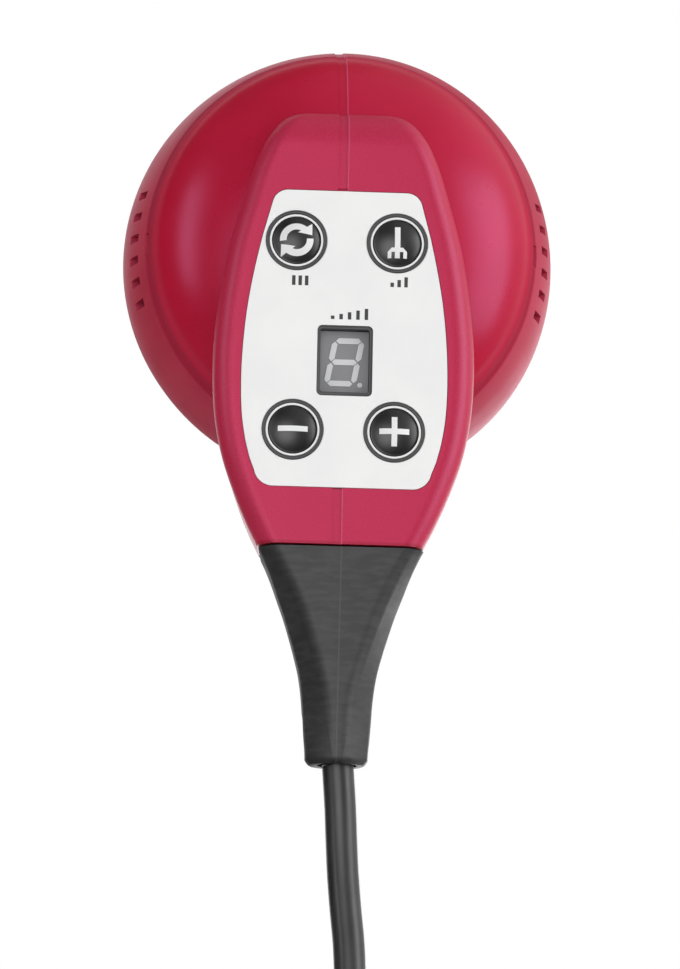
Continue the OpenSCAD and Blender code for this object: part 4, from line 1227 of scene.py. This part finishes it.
start, given, names = shaping("wound_coil", (
    ("Turns", "Float"), ("Radius", "Float"), ("Length", "Float"), ("Wire Radius", "Float"),
    ("Finish", "Material")))
spiral = start.node("GeometryNodeCurveSpiral", None, {
    "Resolution": 48, "Rotations": given["Turns"], "Start Radius": given["Radius"],
    "End Radius": given["Radius"], "Height": given["Length"], "Reverse": True})
round_wire = start.node(
    "GeometryNodeCurvePrimitiveCircle", None, {"Resolution": 12, "Radius": given["Wire Radius"]})
wound = start.node("GeometryNodeCurveToMesh", None, {
    "Curve": spiral, "Profile Curve": round_wire, "Fill Caps": True})
laid = start.node("GeometryNodeTransform", None, {
    "Geometry": wound, "Translation": (0.0, 0.0665, AXIS), "Rotation": (-math.pi / 2, 0.0, 0.0)})
nichrome = metal("nichrome", rgb(122, 116, 108), rgb(150, 142, 132), 0.42)
coil = shaped("nichrome_coil", laid, given, names, {
    "Turns": 8.0, "Radius": 0.0187, "Length": 0.0192, "Wire Radius": 0.0005, "Finish": nichrome})
# The baked wire is welded where its rings meet
work = bmesh.new()
work.from_mesh(coil.data)
bmesh.ops.remove_doubles(work, verts=work.verts, dist=1e-7)
bmesh.ops.recalc_face_normals(work, faces=work.faces)
work.to_mesh(coil.data)
work.free()
fitted(smoothed(coil, 60), nichrome, "casing", "steel", "heater_coil")

# ---------------------------------------------------------------- inner wiring
# PVC-sheathed leads to the motor and silicone-sheathed ones to the heater, the two cores of the
# mains cord above its clamp, and the ribbon cable between the two boards.

# Radius of a wire over its sheath, in mm
WIRE_R = 0.8


def wire_pair(name, path, radius, finishes, node):
    """Two mirrored round wires along a path given in mm for the right one."""
    leads = []
    for i, hand in enumerate((-1, 1)):
        line = curve_through(metres([(hand * x, y, z) for x, y, z in path]), 0.0008)
        leads.append(skinned("lead", tube_rings(line, radius / 1000, 14)))
        for face in leads[i].data.polygons:
            face.material_index = i
    return fitted(smoothed(joined(name, leads), 60), finishes, "casing", "wire_pvc", node)


def sheathing(name, dark, light):
    return moulded(name, dark, light, 0.42, 700.0, 0.00001, coat=0.2)


cores = [sheathing("brown_core", rgb(96, 58, 38), rgb(108, 66, 44)),
         sheathing("blue_core", rgb(34, 70, 150), rgb(42, 82, 166))]
wire_pair("mains_cores", [
    (1.6, -2.2, 4.8), (1.7, -2, 6.4), (2.6, -1.2, 8.8), (4.6, 1, 10.8), (6, 3.6, 11.2)],
    WIRE_R, cores, "mains_wires")
leads = [sheathing("red_lead", rgb(168, 24, 30), rgb(184, 32, 38)),
         sheathing("grey_lead", rgb(70, 70, 74), rgb(84, 84, 88))]
wire_pair("motor_leads", [
    (14.5, 3.6, 29), (14.5, 1, 30.5), (14.5, -1, 34), (13, -1, 42), (10.5, 0.4, 48), (10, 2, 49.5)],
    WIRE_R, leads, "motor_wires")
white_sleeve = sheathing("white_sleeve", rgb(214, 212, 206), rgb(226, 224, 218))
wire_pair("heater_leads", [
    (4.5, 5.8, 13), (4.5, 8, 13), (5, 14, 15), (5, 20, 18.8), (5, 26, 20.6), (5, 31, 20.8),
    (5, 34, 20.3), (5, 38, 19.6), (5, 49.6, 19.4), (5, 52, 20.2), (5, 53, 22.6), (5, 53.3, 27),
    (4.8, 54.2, 31), (4.2, 57.5, 34), (2.6, 61, 35.8), (1.3, 63.4, 37)],
    WIRE_R, [white_sleeve, white_sleeve], "heater_wires")

# The faces of the ribbon ripple over six cores that lie side by side
RIBBON_HALF, CORES, STEPS = 0.003, 6, 36
ribbon_line = curve_through(metres([
    (11.5, -3.3, 11), (11.5, -1.7, 10), (11.5, 0.2, 9.7), (11.5, 2.2, 10.2), (11.5, 3.8, 11.4)]),
    0.0003)
rings = []
for i, centre in enumerate(ribbon_line):
    along = heading(ribbon_line, i)
    over = Vector((0, -along.z, along.y))
    ring = []
    for face in (1, -1):
        for k in range(STEPS + 1):
            u = k / STEPS if face > 0 else 1 - k / STEPS
            bulge = 0.00012 + 0.00008 * abs(math.sin(CORES * math.pi * u))
            ring.append(centre + Vector((RIBBON_HALF * (2 * u - 1), 0, 0)) + over * bulge * face)
    rings.append(ring)
ribbon = skinned("flat_ribbon", rings)
ribbon_pvc, shader, point = finish_of("ribbon_pvc", 0.45)
first_core = point.node("ShaderNodeSeparateXYZ", None, {0: point}).ease(0.01345, 0.01355)
feed(shader, "Base Color", first_core.blend(rgb(150, 150, 152), rgb(176, 40, 40)))
feed(shader, "Roughness", 0.38 + 0.14 * noise(point, 400.0))
fitted(smoothed(ribbon, 60), ribbon_pvc, "casing", "wire_pvc", "ribbon_cable")

inlet = lathed("cord_inside_boot", metres([
    (0, BOOT_END), (3.2, BOOT_END), (3.2, CORD_TOP - 0.3), (2.9, CORD_TOP), (0, CORD_TOP)]), 48, (0, -0.003))
inlet.data.transform(cord_lean)
fitted(smoothed(inlet, 40), sheath, "casing", "cord_pvc", "cord_entry")

# ---------------------------------------------------------------- intake filters
# Strips of fine open-cell foam behind the intake slots, one on each side, that keep hair out.

# They follow the inner face of the skirt
filter_line = [(y, skirt_radius(y) - WALL) for y in (LIP_Y + 8.8 * i / 12 for i in range(13))]
section = [(r - 0.22, y) for y, r in filter_line] + [(r - 1.38, y) for y, r in reversed(filter_line)]
foam = joined("filter_foam_pair", [
    skinned("foam", [
        [Vector((r * math.cos(a) / 1000, y / 1000, AXIS + r * math.sin(a) / 1000)) for r, y in section]
        for a in (math.radians(turn - 18 + 36 * i / 24) for i in range(25))])
    for turn in (0, 180)])
foam_finish, shader, point = finish_of("filter_foam", 0.95)
cells = point.node("ShaderNodeTexVoronoi", None, {"Vector": point, "Scale": 1600.0})
feed(shader, "Base Color", cells.ease(0.1, 0.6).blend(rgb(52, 18, 26), rgb(92, 36, 48)))
bumped(shader, cells, 0.0002)
fitted(smoothed(foam, 40), foam_finish, "casing", "filter_foam", "intake_filters")

# ---------------------------------------------------------------- motor mounting rings
# Two soft rubber rings that hold the motor in the sleeve of its cradle.

bands = joined("rubber_ring_pair", [
    bevelled_ring("band", 16.55, 18.45, y, y + 4, 0.4, steps=96) for y in (8, 25)])
fitted(smoothed(bands, 40), strap_rubber, "casing", "boot_rubber", "motor_rubber_rings")

# ---------------------------------------------------------------- electronics
# Glass-epoxy boards under green lacquer, a film capacitor, a wound choke, and a triac on an
# extruded heat sink. The keys press brass plungers into small black switch boxes. A black plastic
# clamp holds the cord under them.

lacquer, shader, point = finish_of("board_lacquer", 0.35, coat=0.3)
traces = point.node("ShaderNodeTexVoronoi", {"feature": "DISTANCE_TO_EDGE", "distance": "EUCLIDEAN"},
                    {"Vector": point, "Scale": 420.0})
feed(shader, "Base Color", traces.ease(0.05, 0.09).blend(rgb(44, 116, 62), rgb(18, 78, 40)))
feed(shader, "Roughness", 0.3 + 0.15 * noise(point, 300.0))
bumped(shader, traces.ease(0.04, 0.1), 0.00003)
repaint(lacquer, "control_board", "power_board")
repaint(moulded("film_box", rgb(196, 150, 40), rgb(212, 168, 56), 0.4, 500.0, 0.00001, coat=0.2),
        "filter_capacitor")
repaint(moulded("epoxy_black", rgb(30, 30, 32), rgb(40, 40, 42), 0.5, 1200.0, 0.00002),
        "triac", "switch_bodies")
brass = metal("plunger_brass", rgb(196, 156, 82), rgb(214, 176, 100), 0.3)
repaint(brass, "heat_plunger", "boost_plunger", "slower_plunger", "faster_plunger")
aluminium = metal("sink_aluminium", rgb(176, 178, 180), rgb(198, 199, 200), 0.42, 300.0, (1, 1, 0.05))
repaint(aluminium, "heat_sink")
inner_plastic = moulded("motor_cap_plastic", rgb(34, 34, 36), rgb(44, 44, 46), 0.5, 900.0, 0.00002)
repaint(inner_plastic, "cord_clamp")


def wound_copper(name, lines):
    """Enamelled copper wire, laid turn beside turn round the fan axis."""
    made, shader, point = finish_of(name, 0.32, metallic=1.0, coat=0.5)
    layers = point.node(
        "ShaderNodeTexWave", {"bands_direction": "Y"},
        {"Vector": point, "Scale": lines, "Distortion": 1.5})
    feed(shader, "Base Color", layers.blend(rgb(150, 70, 32), rgb(206, 116, 62)))
    bumped(shader, layers, 0.00012)
    return made


repaint(wound_copper("choke_wire", 500.0), "choke")

# ---------------------------------------------------------------- motor
# Small brushed motor: a deep-drawn steel can with two ferrite magnets, a laminated armature with
# its copper winding and commutator, and a moulded end cap that holds the carbon brushes.

repaint(wound_copper("armature_wire", 900.0), "armature_winding")
repaint(metal("can_steel", rgb(160, 162, 166), rgb(184, 186, 188), 0.36), "motor_can")
laminations, shader, point = finish_of("core_laminations", 0.5, metallic=1.0)
sheets = point.node("ShaderNodeTexWave", {"bands_direction": "Y"}, {"Vector": point, "Scale": 320.0})
feed(shader, "Base Color", sheets.blend(rgb(92, 92, 96), rgb(150, 150, 154)))
bumped(shader, sheets, 0.00008)
repaint(laminations, "armature_core")
repaint(metal("turned_copper", rgb(190, 112, 70), rgb(208, 132, 90), 0.3), "commutator")
repaint(metal("ground_steel", rgb(186, 188, 192), rgb(206, 208, 210), 0.18, 700.0),
        "motor_shaft", "rear_bearing", "front_bearing")
repaint(moulded("ferrite", rgb(52, 52, 56), rgb(66, 66, 70), 0.65, 900.0, 0.00004),
        "motor_magnets", "carbon_brushes")
repaint(inner_plastic, "motor_end_cap")

# ---------------------------------------------------------------- fan and air duct
# White glass-filled plastic: the impeller, held on the motor shaft by a brass nut, the duct with its
# guide vanes and the motor's cradle. The heater sits in a mica tube past them, with a thermostat
# and a thermal fuse.

repaint(moulded("duct_plastic", rgb(208, 207, 202), rgb(222, 221, 216), 0.48, 700.0, 0.00003),
        "motor_cradle", "fan_duct")
repaint(moulded("impeller_plastic", rgb(216, 216, 212), rgb(230, 230, 226), 0.4, 700.0, 0.00002),
        "fan_impeller")
repaint(brass, "fan_nut")
mica, shader, point = finish_of("pressed_mica", 0.5, coat=0.25)
flakes = point.node("ShaderNodeTexVoronoi", None, {"Vector": point, "Scale": 260.0}, out="Color")
shade = flakes.node("ShaderNodeSeparateXYZ", None, {0: flakes})
feed(shader, "Base Color", shade.blend(rgb(150, 124, 84), rgb(196, 172, 128)))
feed(shader, "Roughness", 0.35 + 0.3 * shade)
repaint(mica, "heat_shield", "heater_boards")
repaint(inner_plastic, "thermostat")
repaint(aluminium, "thermal_fuse")
